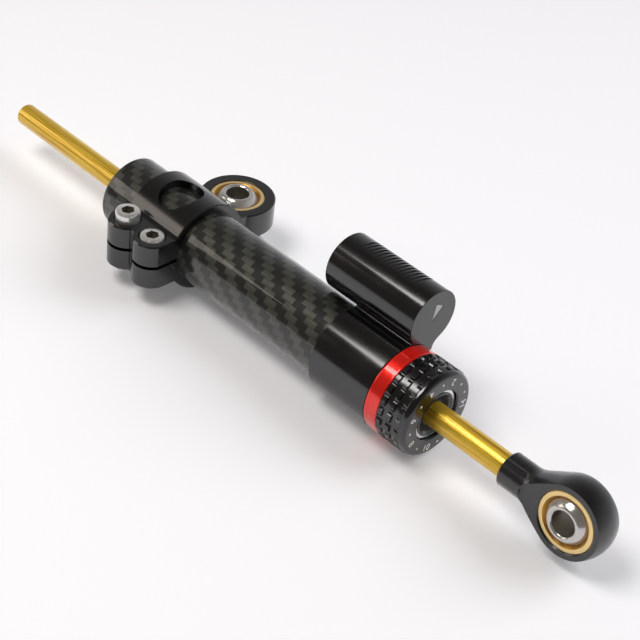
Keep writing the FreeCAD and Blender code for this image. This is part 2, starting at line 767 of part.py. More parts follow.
def clamp_body():
    """The split clamp that holds the tube, with its window, counterbores and bearing bore."""
    body = clamp_blank()
    boss_places, lug_places = clamp_corners()
    body = body.makeFillet(boss_fillet, straight_edges_at(body, X_AXIS, boss_places))
    body = body.makeFillet(lug_fillet, straight_edges_at(body, X_AXIS, lug_places))
    half = clamp_width / 2
    far = 2 * clamp_r
    split = split_gap / 2
    tools = [rod_along_x(tube_r, -half - reach_past, half + reach_past),
             block(-half - reach_past, half + reach_past, 2 * screw_y, -tube_r / 2, -split, split),
             Part.makeCylinder(race_r, 2 * far, V(0, lug_y, -far))]
    for x in (-screw_x, screw_x):
        tools.append(Part.makeCylinder(screw_head_d / 2 + counterbore_gap, far, V(x, screw_y, screw_seat)))
        tools.append(Part.makeCylinder(screw_d / 2 + through_gap, screw_seat + reach_past, V(x, screw_y, 0)))
        tools.append(Part.makeCylinder(screw_d / 2, screw_bite, V(x, screw_y, -screw_bite)))
    end_r = window_width / 2
    straight = (window_length - window_width) / 2
    for y in (-window_shift - straight, -window_shift + straight):
        tools.append(Part.makeCylinder(end_r, far, V(0, y, 0)))
    tools.append(block(-end_r, end_r, -window_shift - straight, -window_shift + straight, 0, far))
    return one_solid(body.cut(tools))


def clamp_screws():
    """The two socket-head screws that close the clamp; the rear one is turned out a little."""
    screws = []
    top = screw_seat + screw_head_height
    outer = screw_head_d / 2
    thread = screw_d / 2
    tip = -screw_bite
    c = edge
    corners = [V(0, 0, tip), V(thread - c, 0, tip), V(thread, 0, tip + c), V(thread, 0, screw_seat),
               V(outer, 0, screw_seat), V(outer, 0, top - c), V(outer - c, 0, top), V(0, 0, top)]
    screw = Part.Face(Part.makePolygon(corners + corners[:1])).revolve(ORIGIN, Z_AXIS, 360)
    screw = screw.cut(hexagon_along(hex_key, hex_depth + reach_past, V(0, 0, top - hex_depth), Z_AXIS))
    for x, lift in screw_lifts:
        placed = screw.copy()
        placed.translate(V(x, screw_y, lift))
        screws.append(placed)
    return Part.makeCompound(screws)


def all_parts():
    frame_centre = V(0, lug_y, 0)
    eye_centre = V(eye_x, 0, 0)
    return {
        "carbon_tube": carbon_tube(),
        "cylinder_liner": cylinder_liner(),
        "head_block": head_block(),
        "reservoir_plug": reservoir_plug(),
        "reservoir_plug_o_ring": reservoir_plug_o_ring(),
        "fill_screw": fill_screw(),
        "reservoir_piston": reservoir_piston(),
        "reservoir_piston_o_ring": reservoir_piston_o_ring(),
        "rear_gland": rear_gland(),
        "rear_gland_o_ring": o_ring(bore_r, rear_o_ring_x()),
        "rear_rod_bush": rod_bush(rear_gland_inner - bush_length),
        "rear_rod_seal": rod_seal(tube_rear + wiper_length),
        "rear_wiper": wiper(tube_rear + wiper_length, tube_rear),
        "front_gland": front_gland(),
        "front_gland_o_ring": o_ring(bore_r, front_o_ring_x()),
        "front_rod_bush": rod_bush(front_gland_inner),
        "front_rod_seal": rod_seal(nose_countersink_floor - wiper_length - seal_length),
        "front_wiper": wiper(nose_countersink_floor - wiper_length, nose_countersink_floor),
        "adjuster_collar": adjuster_collar(),
        "click_ball": click_ball(),
        "click_spring": click_spring(),
        "adjuster_knob": adjuster_knob(),
        "metering_sleeve": metering_sleeve(),
        "knob_snap_ring": knob_snap_ring(),
        "piston": piston(),
        "piston_band": piston_band(),
        "piston_clips": piston_clips(),
        "damper_rod": damper_rod(),
        "rod_eye": rod_eye(),
        "eye_race": bearing_race(eye_centre, eye_axis),
        "eye_ball": bearing_ball(eye_centre, eye_axis),
        "clamp_body": clamp_body(),
        "clamp_screws": clamp_screws(),
        "frame_race": bearing_race(frame_centre, Z_AXIS),
        "frame_ball": bearing_ball(frame_centre, Z_AXIS),
    }


def write_parts():
    """Moves each part from the damper's own axis to the frame bearing's centre, and writes it."""
    os.makedirs("parts", exist_ok=True)
    for name, shape in all_parts().items():
        placed = shape.copy()
        placed.translate(V(0, -lug_y, 0))
        placed.exportStep("parts/" + name + ".step")
        print(name, len(placed.Solids), round(placed.Volume, 1), placed.isValid())


write_parts()
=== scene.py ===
# %% [markdown]
# # A scooter's steering damper
# A steering damper is a thin hydraulic cylinder between a scooter's frame and its fork. It slows the
# handlebar down when a bump kicks it. A gold rod runs through a carbon tube, a piggyback reservoir holds
# spare oil, and a knob round the rod sets how stiff it feels. The CAD model gives every piece its size and
# place. This script gives the pieces their looks, and models anew those whose shape needs finer work.

# %% Load the CAD model as the fixed frame
import math
import bpy
from mathutils import Matrix, Vector


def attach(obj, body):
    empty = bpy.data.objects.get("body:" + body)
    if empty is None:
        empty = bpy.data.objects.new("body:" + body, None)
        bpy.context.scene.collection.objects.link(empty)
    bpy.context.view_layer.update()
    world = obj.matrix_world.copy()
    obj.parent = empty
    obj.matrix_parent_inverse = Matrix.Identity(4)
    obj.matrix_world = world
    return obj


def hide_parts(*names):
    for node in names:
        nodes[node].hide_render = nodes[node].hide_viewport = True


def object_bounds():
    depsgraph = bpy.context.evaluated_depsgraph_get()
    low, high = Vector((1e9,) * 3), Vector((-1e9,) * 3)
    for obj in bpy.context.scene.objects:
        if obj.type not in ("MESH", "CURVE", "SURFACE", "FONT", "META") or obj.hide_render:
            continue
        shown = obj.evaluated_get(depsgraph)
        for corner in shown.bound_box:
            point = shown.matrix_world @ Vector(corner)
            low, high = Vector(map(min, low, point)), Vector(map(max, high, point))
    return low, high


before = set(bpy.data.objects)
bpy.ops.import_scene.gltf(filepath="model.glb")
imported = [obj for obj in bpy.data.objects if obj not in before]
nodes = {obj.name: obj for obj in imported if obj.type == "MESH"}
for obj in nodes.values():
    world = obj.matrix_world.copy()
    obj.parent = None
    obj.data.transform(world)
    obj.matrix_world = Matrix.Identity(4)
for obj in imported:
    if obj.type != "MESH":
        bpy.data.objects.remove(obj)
cad_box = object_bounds()
print("CAD nodes:", len(nodes))

# %% [markdown]
# ## The camera
# The photograph looks down on the damper from its front left, through a long lens, so the far end is only
# a little smaller than the near one. The camera was fitted to the edges of the tube, the knob and both
# bearings. Its three axes are written as one turn, because a camera that is aimed by hand would leave the
# outlines a few pixels off.

# %% The camera
MM = 0.001
SENSOR_WIDTH_MM = 36.0
FOCAL_LENGTH_MM = 87.15
CAMERA_PLACE = Vector((321.439, -310.007, 296.845)) * MM
CAMERA_RIGHT = Vector((0.685936, 0.719913, 0.105910))
CAMERA_UP = Vector((-0.500303, 0.360905, 0.787048))
CAMERA_BACK = Vector((0.528383, -0.592852, 0.607732))


def facing(sideways, up, front):
    """The turn that lays X, Y and Z along three directions."""
    return Matrix((sideways, up, front)).transposed().to_4x4()


camera_data = bpy.data.cameras.new("camera")
camera_data.sensor_width = SENSOR_WIDTH_MM
camera_data.lens = FOCAL_LENGTH_MM
camera_data.clip_start = 0.01
camera_data.clip_end = 20.0
camera = bpy.data.objects.new("camera", camera_data)
bpy.context.scene.collection.objects.link(camera)
bpy.context.scene.camera = camera
bpy.context.scene.view_settings.view_transform = "Standard"
camera.matrix_world = Matrix.Translation(CAMERA_PLACE) @ facing(CAMERA_RIGHT, CAMERA_UP, CAMERA_BACK)
print("camera at", [round(v, 3) for v in camera.location], "with a lens of", FOCAL_LENGTH_MM, "mm")

# %% [markdown]
# ## Helpers for colours and nodes
# A colour picked from a screen is sRGB, and the shaders count light in linear numbers, so one function
# turns a hex value into what a shader wants. A second one adds a node, sets its options and links its
# inputs in one call, and two more start a material and link its shader. The last few are short names for
# the nodes that nearly every material has: sums, blends, ranges, grain and relief.

# %% Helpers for colours and nodes
def linear(hex_value):
    """An sRGB hex colour as linear red, green, blue and alpha."""
    channels = []
    for start in (0, 2, 4):
        c = int(hex_value[start:start + 2], 16) / 255
        channels.append(c / 12.92 if c <= 0.04045 else ((c + 0.055) / 1.055) ** 2.4)
    return (*channels, 1.0)


def add_node(tree, kind, sockets=None, **settings):
    """Adds a node. Sockets are numbers, colours or other nodes' outputs; settings are the node's options."""
    node = tree.nodes.new(kind)
    for name, value in settings.items():
        setattr(node, name, value)
    for name, value in (sockets or {}).items():
        if isinstance(value, bpy.types.NodeSocket):
            tree.links.new(value, node.inputs[name])
        else:
            node.inputs[name].default_value = value
    return node


def new_material(name, **constants):
    """A material with its Principled shader, whose named sockets get constant values."""
    material = bpy.data.materials.new(name)
    material.use_nodes = True
    shader = material.node_tree.nodes["Principled BSDF"]
    for socket, value in constants.items():
        shader.inputs[socket.replace("_", " ")].default_value = value
    return material, material.node_tree, shader


def connect(tree, shader, **outputs):
    """Links nodes' outputs to the shader's named sockets."""
    for socket, output in outputs.items():
        tree.links.new(output, shader.inputs[socket.replace("_", " ")])


print("black reads as", [round(v, 4) for v in linear("101012")[:3]])

# %% Short names for the usual nodes
def maths(tree, operation, *values):
    """A sum, product or comparison of one to three values."""
    return add_node(tree, "ShaderNodeMath", dict(enumerate(values)), operation=operation).outputs[0]


def blend(tree, factor, low, high):
    """A colour between two colours."""
    return add_node(tree, "ShaderNodeMix", {"Factor": factor, "A": low, "B": high},
                    data_type="RGBA").outputs["Result"]


def spread(tree, value, low=0.0, high=1.0, start=0.0, end=1.0, smooth=False):
    """Takes a value from the range between start and end to the range between low and high."""
    return add_node(tree, "ShaderNodeMapRange", {"Value": value, "From Min": start, "From Max": end,
                                                 "To Min": low, "To Max": high},
                    interpolation_type="SMOOTHSTEP" if smooth else "LINEAR").outputs["Result"]


def scaled(tree, place, factors):
    """A place with each of its three numbers multiplied."""
    return add_node(tree, "ShaderNodeVectorMath", {0: place, 1: factors},
                    operation="MULTIPLY").outputs["Vector"]


def grain_in_space(tree, size, detail):
    """Noise in space, in the model's own metres, whose grains are about size wide."""
    place = add_node(tree, "ShaderNodeTexCoord").outputs["Object"]
    return add_node(tree, "ShaderNodeTexNoise", {"Vector": place, "Scale": 1 / size,
                                                 "Detail": detail}).outputs["Fac"]


def relief(tree, height, depth, strength):
    """The way a surface leans where a pattern of heights is pressed into it."""
    return add_node(tree, "ShaderNodeBump", {"Height": height, "Distance": depth,
                                             "Strength": strength}).outputs["Normal"]


print("six short names ready, from", maths.__name__, "to", relief.__name__)

# %% [markdown]
# ## Floor, room and lamps
# The damper lies on a white sheet of paper in a dim room. A glossy black cylinder shows that room like a
# mirror: a streak where a lamp is, black where the ceiling is, and pale bands low on both sides where the
# paper is. So the main lamp is a rectangle overhead, whose width and place set the streaks' width and place.
# A weaker one lights the clamp's side, and a bounce board behind only fills the shadows, so it has no
# reflection of its own. The room is a dim world that gets paler towards the horizon behind the damper. The
# floor is a large plane that glows a little for the camera and in reflections, as overexposed paper does,
# and it still takes the damper's shadow.

# %% The floor
FLOOR_WIDTH = 6.0
FLOOR_GAP = 0.05 * MM
PAPER_WHITE = linear("f2f2f4")
PAPER_GLOW = 0.14
floor_top = cad_box[0].z - FLOOR_GAP
bpy.ops.object.select_all(action="DESELECT")
bpy.ops.mesh.primitive_plane_add(size=FLOOR_WIDTH, location=(0, 0, floor_top))
floor = bpy.context.object
floor.name = "paper_floor"
bpy.ops.object.transform_apply(location=True, rotation=True, scale=True)
paper, tree, shader = new_material("white_paper", Base_Color=PAPER_WHITE, Emission_Color=PAPER_WHITE,
                                   Roughness=0.75)
ray = add_node(tree, "ShaderNodeLightPath")
seen = maths(tree, "MAXIMUM", ray.outputs["Is Camera Ray"], ray.outputs["Is Glossy Ray"])
seen_through = maths(tree, "MAXIMUM", seen, ray.outputs["Is Transmission Ray"])
connect(tree, shader, Emission_Strength=maths(tree, "MULTIPLY", seen_through, PAPER_GLOW))
floor.data.materials.append(paper)
print("floor at z =", round(floor_top / MM, 2), "mm")

# %% The room's dim light
CEILING_TONE, HORIZON_TONE = linear("554d46"), linear("d2d2d6")
CEILING_HEIGHT, HORIZON_HEIGHT = 0.92, 0.05
SIDE_ZONE = 0.5
LEAST_PALE = 0.10
world = bpy.data.worlds.new("dim_room")
world.use_nodes = True
bpy.context.scene.world = world
tree = world.node_tree
direction = add_node(tree, "ShaderNodeTexCoord").outputs["Generated"]
parts = add_node(tree, "ShaderNodeSeparateXYZ", {"Vector": direction})
low = spread(tree, parts.outputs["Z"], start=CEILING_HEIGHT, end=HORIZON_HEIGHT)
behind = spread(tree, parts.outputs["Y"], start=-SIDE_ZONE, end=SIDE_ZONE, low=LEAST_PALE, smooth=True)
pale = maths(tree, "MULTIPLY", low, behind)
connect(tree, tree.nodes["Background"], Color=blend(tree, pale, CEILING_TONE, HORIZON_TONE))
print("the room's light has", len(tree.nodes), "nodes")

# %% The lamps
LAMP_AIM = Vector((0.10, -0.024, 0.0))
# Blender makes a rectangular lamp's face as bright as its watts over four times its area.
WATTS_FOR_BRIGHTNESS = 4


def soft_lamp(name, towards, distance, width, depth, radiance, colour):
    """A rectangular lamp that faces the damper; radiance is how bright its own face looks."""
    data = bpy.data.lights.new(name, "AREA")
    data.shape = "RECTANGLE"
    data.size = width
    data.size_y = depth
    data.energy = radiance * width * depth * WATTS_FOR_BRIGHTNESS
    data.color = colour[:3]
    lamp = bpy.data.objects.new(name, data)
    bpy.context.scene.collection.objects.link(lamp)
    aim = Vector(towards).normalized()
    turn = aim.to_track_quat("Z", "Y").to_matrix().to_4x4()
    lamp.matrix_world = Matrix.Translation(LAMP_AIM + aim * distance) @ turn
    print(name, "at", [round(v, 2) for v in lamp.location], "with", round(data.energy, 2), "W")
    return lamp


soft_lamp("overhead_lamp", (-0.262, -0.375, 0.889), distance=0.92, width=0.44, depth=0.37, radiance=6.6,
          colour=linear("fffdfa"))
soft_lamp("side_lamp", (-0.76, -0.51, 0.40), distance=1.2, width=0.50, depth=0.45, radiance=1.6,
          colour=linear("fff4e8"))
bounce_board = soft_lamp("bounce_board", (0.42, 0.62, 0.66), distance=1.4, width=1.1, depth=0.9,
                         radiance=3.0, colour=linear("f8faff"))
bounce_board.visible_glossy = False

# %% [markdown]
# ## Measuring along, out from and round the damper
# The weave of the tube, the turning marks of the rings and the polish of the rod all follow the damper's own
# axis. The axis runs along X, 23.83 mm beside the frame bearing. Each of those patterns needs three numbers
# for a point: how far along the axis it is, how far out from it, and at what angle round it.

# %% Measuring round the axis
AXIS_Y = -23.83 * MM
AXIS_POINT = Vector((0.0, AXIS_Y, 0.0))


def round_the_axis(tree):
    """A point's place along the damper's axis and out from it, in metres, and its angle round it."""
    place = add_node(tree, "ShaderNodeTexCoord").outputs["Object"]
    centred = add_node(tree, "ShaderNodeVectorMath", {0: place, 1: AXIS_POINT}, operation="SUBTRACT")
    parts = add_node(tree, "ShaderNodeSeparateXYZ", {"Vector": centred.outputs["Vector"]})
    across = add_node(tree, "ShaderNodeCombineXYZ", {"Y": parts.outputs["Y"], "Z": parts.outputs["Z"]})
    radius = add_node(tree, "ShaderNodeVectorMath", {0: across.outputs["Vector"]}, operation="LENGTH")
    angle = maths(tree, "ARCTAN2", parts.outputs["Z"], parts.outputs["Y"])
    return parts.outputs["X"], radius.outputs["Value"], angle


print("the damper's axis is", round(-AXIS_Y / MM, 2), "mm from the frame bearing")

# %% [markdown]
# ## Carbon fibre under clear coat
# The tube is rolled from cloth: flat tows of black carbon, woven over two and under two, which is a twill.
# A tow that lies along the tube catches the lamp and looks grey, and one that goes round it stays dark, so
# the cloth reads as slanting stairs. That grey is painted sheen: the tows along the tube get a grey base
# colour, and those round it a near-black one. Resin and a clear coat on top make a smooth mirror. The tows
# are
# 2.36 mm wide along the tube, and 36 of them go round it. A shader that counts tows both ways and
# compares the two counts draws exactly that, with no picture.

# %% Carbon fibre under clear coat
# Rolled twill carbon cloth, cured and clear coated: grey tows of painted sheen and black tows deep under a
# sharp reflection.
TOW_WIDTH = 2.36 * MM
TOWS_ROUND = 36
TWILL_REPEAT = 4.0
TOW_SHOULDER = 0.2
carbon, tree, shader = new_material("clear_coated_carbon_twill", Roughness=0.42, Coat_Weight=1.0,
                                    Coat_Roughness=0.04, Coat_IOR=1.5, Specular_IOR_Level=0.2)
along, _, angle = round_the_axis(tree)
tow_x = maths(tree, "DIVIDE", along, TOW_WIDTH)
tow_a = maths(tree, "MULTIPLY", angle, TOWS_ROUND / math.tau)
stair = maths(tree, "SUBTRACT", maths(tree, "FLOOR", tow_x), maths(tree, "FLOOR", tow_a))
step = maths(tree, "FLOORED_MODULO", stair, TWILL_REPEAT)
# Of each four steps, 0 and 1 show a tow that lies along the tube, and 2 and 3 one that goes round it.
lengthwise = maths(tree, "LESS_THAN", step, 1.5)
part_x, part_a = maths(tree, "FRACT", tow_x), maths(tree, "FRACT", tow_a)
across_tow = add_node(tree, "ShaderNodeMix", {"Factor": lengthwise, "A": part_x, "B": part_a}).outputs[0]
to_edge = maths(tree, "PINGPONG", across_tow, 0.5)
crown = spread(tree, to_edge, end=TOW_SHOULDER, smooth=True)
print("tow", round(TOW_WIDTH / MM, 2), "mm;", TOWS_ROUND, "tows round the tube")

# %% Fibres and colours of the cloth
# Real fibres are 7 thousandths of a millimetre thick; they are drawn in bundles of a quarter millimetre,
# nine to a tow, so that they show. Slow noise makes the painted sheen paler on some tows than on others.
BUNDLES_PER_TOW, CHANGES_ALONG_A_TOW, CHANGE_PER_STEP = 9.0, 0.5, 3.0
SHEEN_PATCH_SIZE = 7.0 * MM
# How far the tows' edges darken: painted shade in the dips between tows.
EDGE_SHADE = 0.72
FIBRE_SHEEN = 0.6
FIBRE_RELIEF, TOW_RELIEF = 0.25, 0.05 * MM
lying_along = add_node(tree, "ShaderNodeCombineXYZ", {"X": tow_x, "Y": tow_a, "Z": step}).outputs[0]
stretch_along = scaled(tree, lying_along, (CHANGES_ALONG_A_TOW, BUNDLES_PER_TOW, CHANGE_PER_STEP))
stretch_round = scaled(tree, lying_along, (BUNDLES_PER_TOW, CHANGES_ALONG_A_TOW, CHANGE_PER_STEP))
stretch = add_node(tree, "ShaderNodeMix", {"Factor": lengthwise, "A": stretch_round, "B": stretch_along},
                   data_type="VECTOR").outputs["Result"]
fibres = add_node(tree, "ShaderNodeTexNoise", {"Vector": stretch, "Scale": 1.0, "Detail": 2.0}).outputs["Fac"]
dark = blend(tree, fibres, linear("0b0b0a"), linear("1e1f1b"))
sheen_patches = grain_in_space(tree, SHEEN_PATCH_SIZE, detail=3.0)
# The grey of the tows along the tube is painted sheen, paler in slow patches.
painted_sheen_tone = blend(tree, sheen_patches, linear("3c3e38"), linear("6c6e66"))
grey = blend(tree, fibres, linear("2e302b"), painted_sheen_tone)
cloth = blend(tree, lengthwise, dark, grey)
# Towards each tow's edges the colour darkens to near black: painted shade in the dips between tows.
shaded = blend(tree, spread(tree, crown, low=EDGE_SHADE), linear("0a0a09"), cloth)
sheen = maths(tree, "MULTIPLY", lengthwise, FIBRE_SHEEN)
height = maths(tree, "MULTIPLY_ADD", fibres, FIBRE_RELIEF, crown)
bump = relief(tree, height, TOW_RELIEF, strength=0.6)
connect(tree, shader, Base_Color=shaded, Metallic=sheen, Normal=bump)
print(carbon.name, "has", len(tree.nodes), "nodes")

# %% [markdown]
# ## Black anodised aluminium
# The head, the reservoir, the clamp, the knob and the glands are cut from aluminium bars and dyed black in an
# anodising bath. The cutter's fine marks and a light bead blast stay under the dye, so the edges of the
# lamps' reflections are soft, and the colour is not quite even. Noise at the grit's size gives the blasted
# skin, and slow noise varies the gloss where hands have touched it.

# %% Black anodised aluminium
# Milled, bead blasted and dyed black: a glossy black, slightly uneven, with no colour of its own.
BLAST_GRAIN, BLAST_DEPTH = 0.25 * MM, 0.006 * MM
HANDLED_PATCH = 9.0 * MM
GLOSSIEST, DULLEST = 0.13, 0.18
anodised, tree, shader = new_material("black_anodised_aluminium", Specular_IOR_Level=0.9)
grain = grain_in_space(tree, BLAST_GRAIN, detail=1.0)
patch = grain_in_space(tree, HANDLED_PATCH, detail=3.0)
gloss = spread(tree, patch, start=0.3, end=0.7, low=GLOSSIEST, high=DULLEST)
tint = blend(tree, patch, linear("060607"), linear("0d0d0e"))
bump = relief(tree, grain, BLAST_DEPTH, strength=0.5)
connect(tree, shader, Base_Color=tint, Roughness=gloss, Normal=bump)
print(anodised.name, "grain", BLAST_GRAIN / MM, "mm")

# %% [markdown]
# ## Turned metals
# Many pieces are turned on a lathe: the red ring behind the knob, the inner sleeve, the pistons, the bushes.
# The tool leaves rings as fine as a hair round the axis, on the sides and on the faces alike. The distance
# along the axis plus the distance out from it grows steadily along any such surface, so noise read along
# that one number draws the tool's rings on all of them. The metals differ in colour and in how rough the
# tool left them, so one function makes them all.

# %% Turned metals
# Tool marks are a few hundredths of a millimetre apart; they are drawn 0.12 mm apart so that they show.
TOOL_MARK = 0.12 * MM


def deeper(hex_value, share):
    """A colour with only a share of its light: painted shade for the bottom of marks."""
    return tuple(channel * share for channel in linear(hex_value)[:3]) + (1.0,)


def turned_metal(name, hex_value, roughness, mark_depth, metallic=1.0, clear_skin=0.0):
    """A bare or dyed metal off the lathe: fine rings round the damper's axis, in its colour and gloss."""
    material, tree, shader = new_material(name, Metallic=metallic, Specular_IOR_Level=0.25,
                                          Coat_Weight=clear_skin, Coat_Roughness=0.08, Coat_IOR=1.6)
    along, radius, _ = round_the_axis(tree)
    run = maths(tree, "ADD", along, radius)
    rings = add_node(tree, "ShaderNodeTexNoise", {"W": run, "Scale": 1 / TOOL_MARK, "Detail": 2.0},
                     noise_dimensions="1D").outputs["Fac"]
    # The bottoms of the tool's rings are darker: painted shade.
    tint = blend(tree, rings, deeper(hex_value, 0.82), linear(hex_value))
    gloss = spread(tree, rings, low=roughness * 0.8, high=roughness * 1.2)
    bump = relief(tree, rings, mark_depth, strength=0.5)
    connect(tree, shader, Base_Color=tint, Roughness=gloss, Normal=bump)
    print(name, "is", hex_value, "with roughness", roughness)
    return material


# Dyed after turning, under a clear seal: the metal shows through the red.
red_anodised = turned_metal("red_anodised_aluminium", "f62010", roughness=0.26, mark_depth=0.004 * MM,
                            metallic=0.5, clear_skin=0.8)
# Left as the tool cut it: pale grey and bright.
bare_aluminium = turned_metal("turned_bare_aluminium", "d0d2d4", roughness=0.30, mark_depth=0.004 * MM)
# Harder, so cut finer: a darker grey.
turned_steel = turned_metal("turned_steel", "b4b5b8", roughness=0.26, mark_depth=0.003 * MM)
# Pressed from powder and sized: brown and dull, with oil in its pores.
bronze = turned_metal("sintered_bronze", "b98a4c", roughness=0.38, mark_depth=0.004 * MM)

# %% [markdown]
# ## The gold rod
# The rod is hard steel, ground and polished, with a thin ceramic coat that gives it its gold colour and
# lets the seals slide. Polishing runs along the rod, so its fine lines do too. Noise that is stretched
# along the axis and tight round it makes them. They break the lamp's reflection into long threads, and the
# gold that goes from dark to bright along them is painted reflection.

# %% The gold rod's coat
# Ground steel with a titanium nitride coat: a bright mirror of warm gold with hair lines along it, and
# painted streaks of light and shade along the lines.
LINES_ROUND = 60.0
LINES_PER_METRE = 25.0
LINE_DEPTH = 0.11 * MM
gold_rod, tree, shader = new_material("titanium_nitride_coated_steel", Metallic=0.55,
                                      Specular_IOR_Level=0.2, Coat_Weight=0.5, Coat_Roughness=0.12)
along, _, angle = round_the_axis(tree)
hairs = add_node(tree, "ShaderNodeCombineXYZ", {"X": along, "Y": angle}).outputs[0]
drawn = scaled(tree, hairs, (LINES_PER_METRE, LINES_ROUND / math.tau, 1.0))
lines = add_node(tree, "ShaderNodeTexNoise", {"Vector": drawn, "Scale": 1.0, "Detail": 3.0}).outputs["Fac"]
# Dark and bright gold along the lines: painted streaks of reflection.
painted_streaks = spread(tree, lines, start=0.32, end=0.68)
tint = blend(tree, painted_streaks, linear("b8800c"), linear("ffdc50"))
gloss = spread(tree, lines, low=0.22, high=0.38)
bump = relief(tree, lines, LINE_DEPTH, strength=0.9)
connect(tree, shader, Base_Color=tint, Roughness=gloss, Normal=bump)
print(gold_rod.name, "has", len(tree.nodes), "nodes")

# %% [markdown]
# ## Bearing metals and screws
# The two spherical bearings have a gold coloured outer ring and a polished steel ball. The screws are
# stainless steel. None of these lies round the damper's axis, so their marks are plain noise in space:
# tiny scratches on the balls, and tumbled skin on the screws.

# %% Bearing metals and screws
def polished_metal(name, hex_value, roughness, grain_size, grain_depth, metallic=1.0):
    """A polished or tumbled metal whose fine marks run in no one direction."""
    material, tree, shader = new_material(name, Metallic=metallic, Specular_IOR_Level=0.25)
    marks = grain_in_space(tree, grain_size, detail=3.0)
    # The low places of the marks are darker: painted shade.
    tint = blend(tree, marks, deeper(hex_value, 0.86), linear(hex_value))
    gloss = spread(tree, marks, low=roughness * 0.7, high=roughness * 1.3)
    bump = relief(tree, marks, grain_depth, strength=0.4)
    connect(tree, shader, Base_Color=tint, Roughness=gloss, Normal=bump)
    print(name, "is", hex_value, "with roughness", roughness)
    return material


# Hardened and lapped: an even mirror, cool grey.
ball_steel = polished_metal("lapped_bearing_steel", "d6d3cf", roughness=0.18, grain_size=0.5 * MM,
                            grain_depth=0.003 * MM, metallic=0.75)
# The bore is only honed, so it is dull; it is also darker, which is painted shade, here and in the screws'
# key sockets.
shaded_hole_steel = polished_metal("dull_steel_with_painted_shade", "8c8678", roughness=0.42, grain_size=0.5 * MM,
                             grain_depth=0.006 * MM, metallic=0.8)
# A chromated steel ring: warm yellow, a little duller than the rod.
race_gold = polished_metal("yellow_chromated_steel", "ffe0a0", roughness=0.36, grain_size=0.4 * MM,
                           grain_depth=0.004 * MM, metallic=0.7)
# The seat that the ball rubs on: the same yellow, darker, which is painted shade inside the ring.
shaded_race_seat = polished_metal("shaded_yellow_seat", "b8863c", roughness=0.34, grain_size=0.4 * MM,
                           grain_depth=0.004 * MM, metallic=0.8)
# Cold headed and tumbled: pale and soft, no two heads quite alike.
screw_steel = polished_metal("tumbled_stainless_steel", "ecebe8", roughness=0.22, grain_size=0.6 * MM,
                             grain_depth=0.003 * MM, metallic=0.78)
# Stamped from hardened strip and left bright.
spring_steel = polished_metal("bright_spring_steel", "dcdcda", roughness=0.16, grain_size=0.3 * MM,
                              grain_depth=0.003 * MM)

# %% [markdown]
# ## Black gloss on the rod eye
# The eye that screws onto the rod is coated, not dyed: a thin black paint, baked hard, that flows a little
# before it sets, so its reflections wave slightly: a sharp one on the skin and a soft one from below. A clear
# coat over a dark base with slow, shallow bumps looks like that. The grip slot was milled after painting, so
# its floor is dull: there the surface is nearer to the axis than the shank's skin, which is how it is found.

# %% Black gloss on the rod eye
# Baked black enamel on machined aluminium: deep black, sharp highlights with a faint ripple.
ENAMEL_RIPPLE, RIPPLE_DEPTH = 1.6 * MM, 0.01 * MM
SLOT_BELOW = 5.35 * MM
SLOT_END = 154.0 * MM
COAT, SHINE, BARE_SHINE = 0.6, 0.6, 0.05
enamel, tree, shader = new_material("baked_black_enamel", Base_Color=linear("0d0d0f"), Coat_Roughness=0.12,
                                    Coat_Weight=COAT, Specular_IOR_Level=SHINE)
along, radius, _ = round_the_axis(tree)
skin = maths(tree, "GREATER_THAN", radius, SLOT_BELOW)
past = maths(tree, "GREATER_THAN", along, SLOT_END)
painted = maths(tree, "MAXIMUM", skin, past)
coat = maths(tree, "MULTIPLY", painted, COAT)
shine = spread(tree, painted, low=BARE_SHINE, high=SHINE)
ripple = grain_in_space(tree, ENAMEL_RIPPLE, detail=2.0)
gloss = spread(tree, ripple, low=0.26, high=0.38)
bump = relief(tree, ripple, RIPPLE_DEPTH, strength=0.4)
connect(tree, shader, Coat_Weight=coat, Specular_IOR_Level=shine, Roughness=gloss, Normal=bump)
print(enamel.name, "ripple", ENAMEL_RIPPLE / MM, "mm")

# %% [markdown]
# ## Rubber, slide plastic and paint
# The seals and rings inside are moulded nitrile rubber, which is dull and nearly black. The band round the
# piston is a filled slide plastic, brown and waxy. The dial's numbers are white paint pressed into the
# anodising, slightly worn, and the index is bleached into it. They all get two close tones in fine grain.

# %% Rubber, slide plastic and paint
SKIN_DEPTH = 0.01 * MM


def moulded(name, low_hex, high_hex, roughness, grain_size):
    """A moulded or painted skin: two close tones in fine grain, and a matching shallow bump."""
    material, tree, shader = new_material(name, Roughness=roughness)
    grain = grain_in_space(tree, grain_size, detail=3.0)
    tint = blend(tree, grain, linear(low_hex), linear(high_hex))
    bump = relief(tree, grain, SKIN_DEPTH, strength=0.5)
    connect(tree, shader, Base_Color=tint, Normal=bump)
    print(name, "between", low_hex, "and", high_hex)
    return material


# Cured in a blasted mould: dull, nearly black.
rubber = moulded("moulded_nitrile_rubber", "121213", "202021", roughness=0.62, grain_size=0.2 * MM)
# Bronze powder in a waxy plastic: brown, half dull.
slide_plastic = moulded("filled_slide_plastic", "4a3b2a", "63503a", roughness=0.45, grain_size=0.3 * MM)
# Pressed into the engraving and wiped: white with thin places.
dial_paint = moulded("white_dial_paint", "d4d4d2", "f2f2f0", roughness=0.5, grain_size=0.35 * MM)
# Bleached by a laser: a pale matt grey.
bare_mark = moulded("laser_bleached_anodising", "b2b4b7", "cfd1d3", roughness=0.42, grain_size=0.25 * MM)

# %% [markdown]
# ## Finishes for the CAD pieces
# Some CAD pieces are already the right shape, with their own smooth edges, and only need a finish, such as
# the clamp, the rod's eye and the snap ring in the knob. The seals, bushes and pistons are inside, and they
# get the metal or rubber that they are really made of, so that a cut through the damper looks right too.

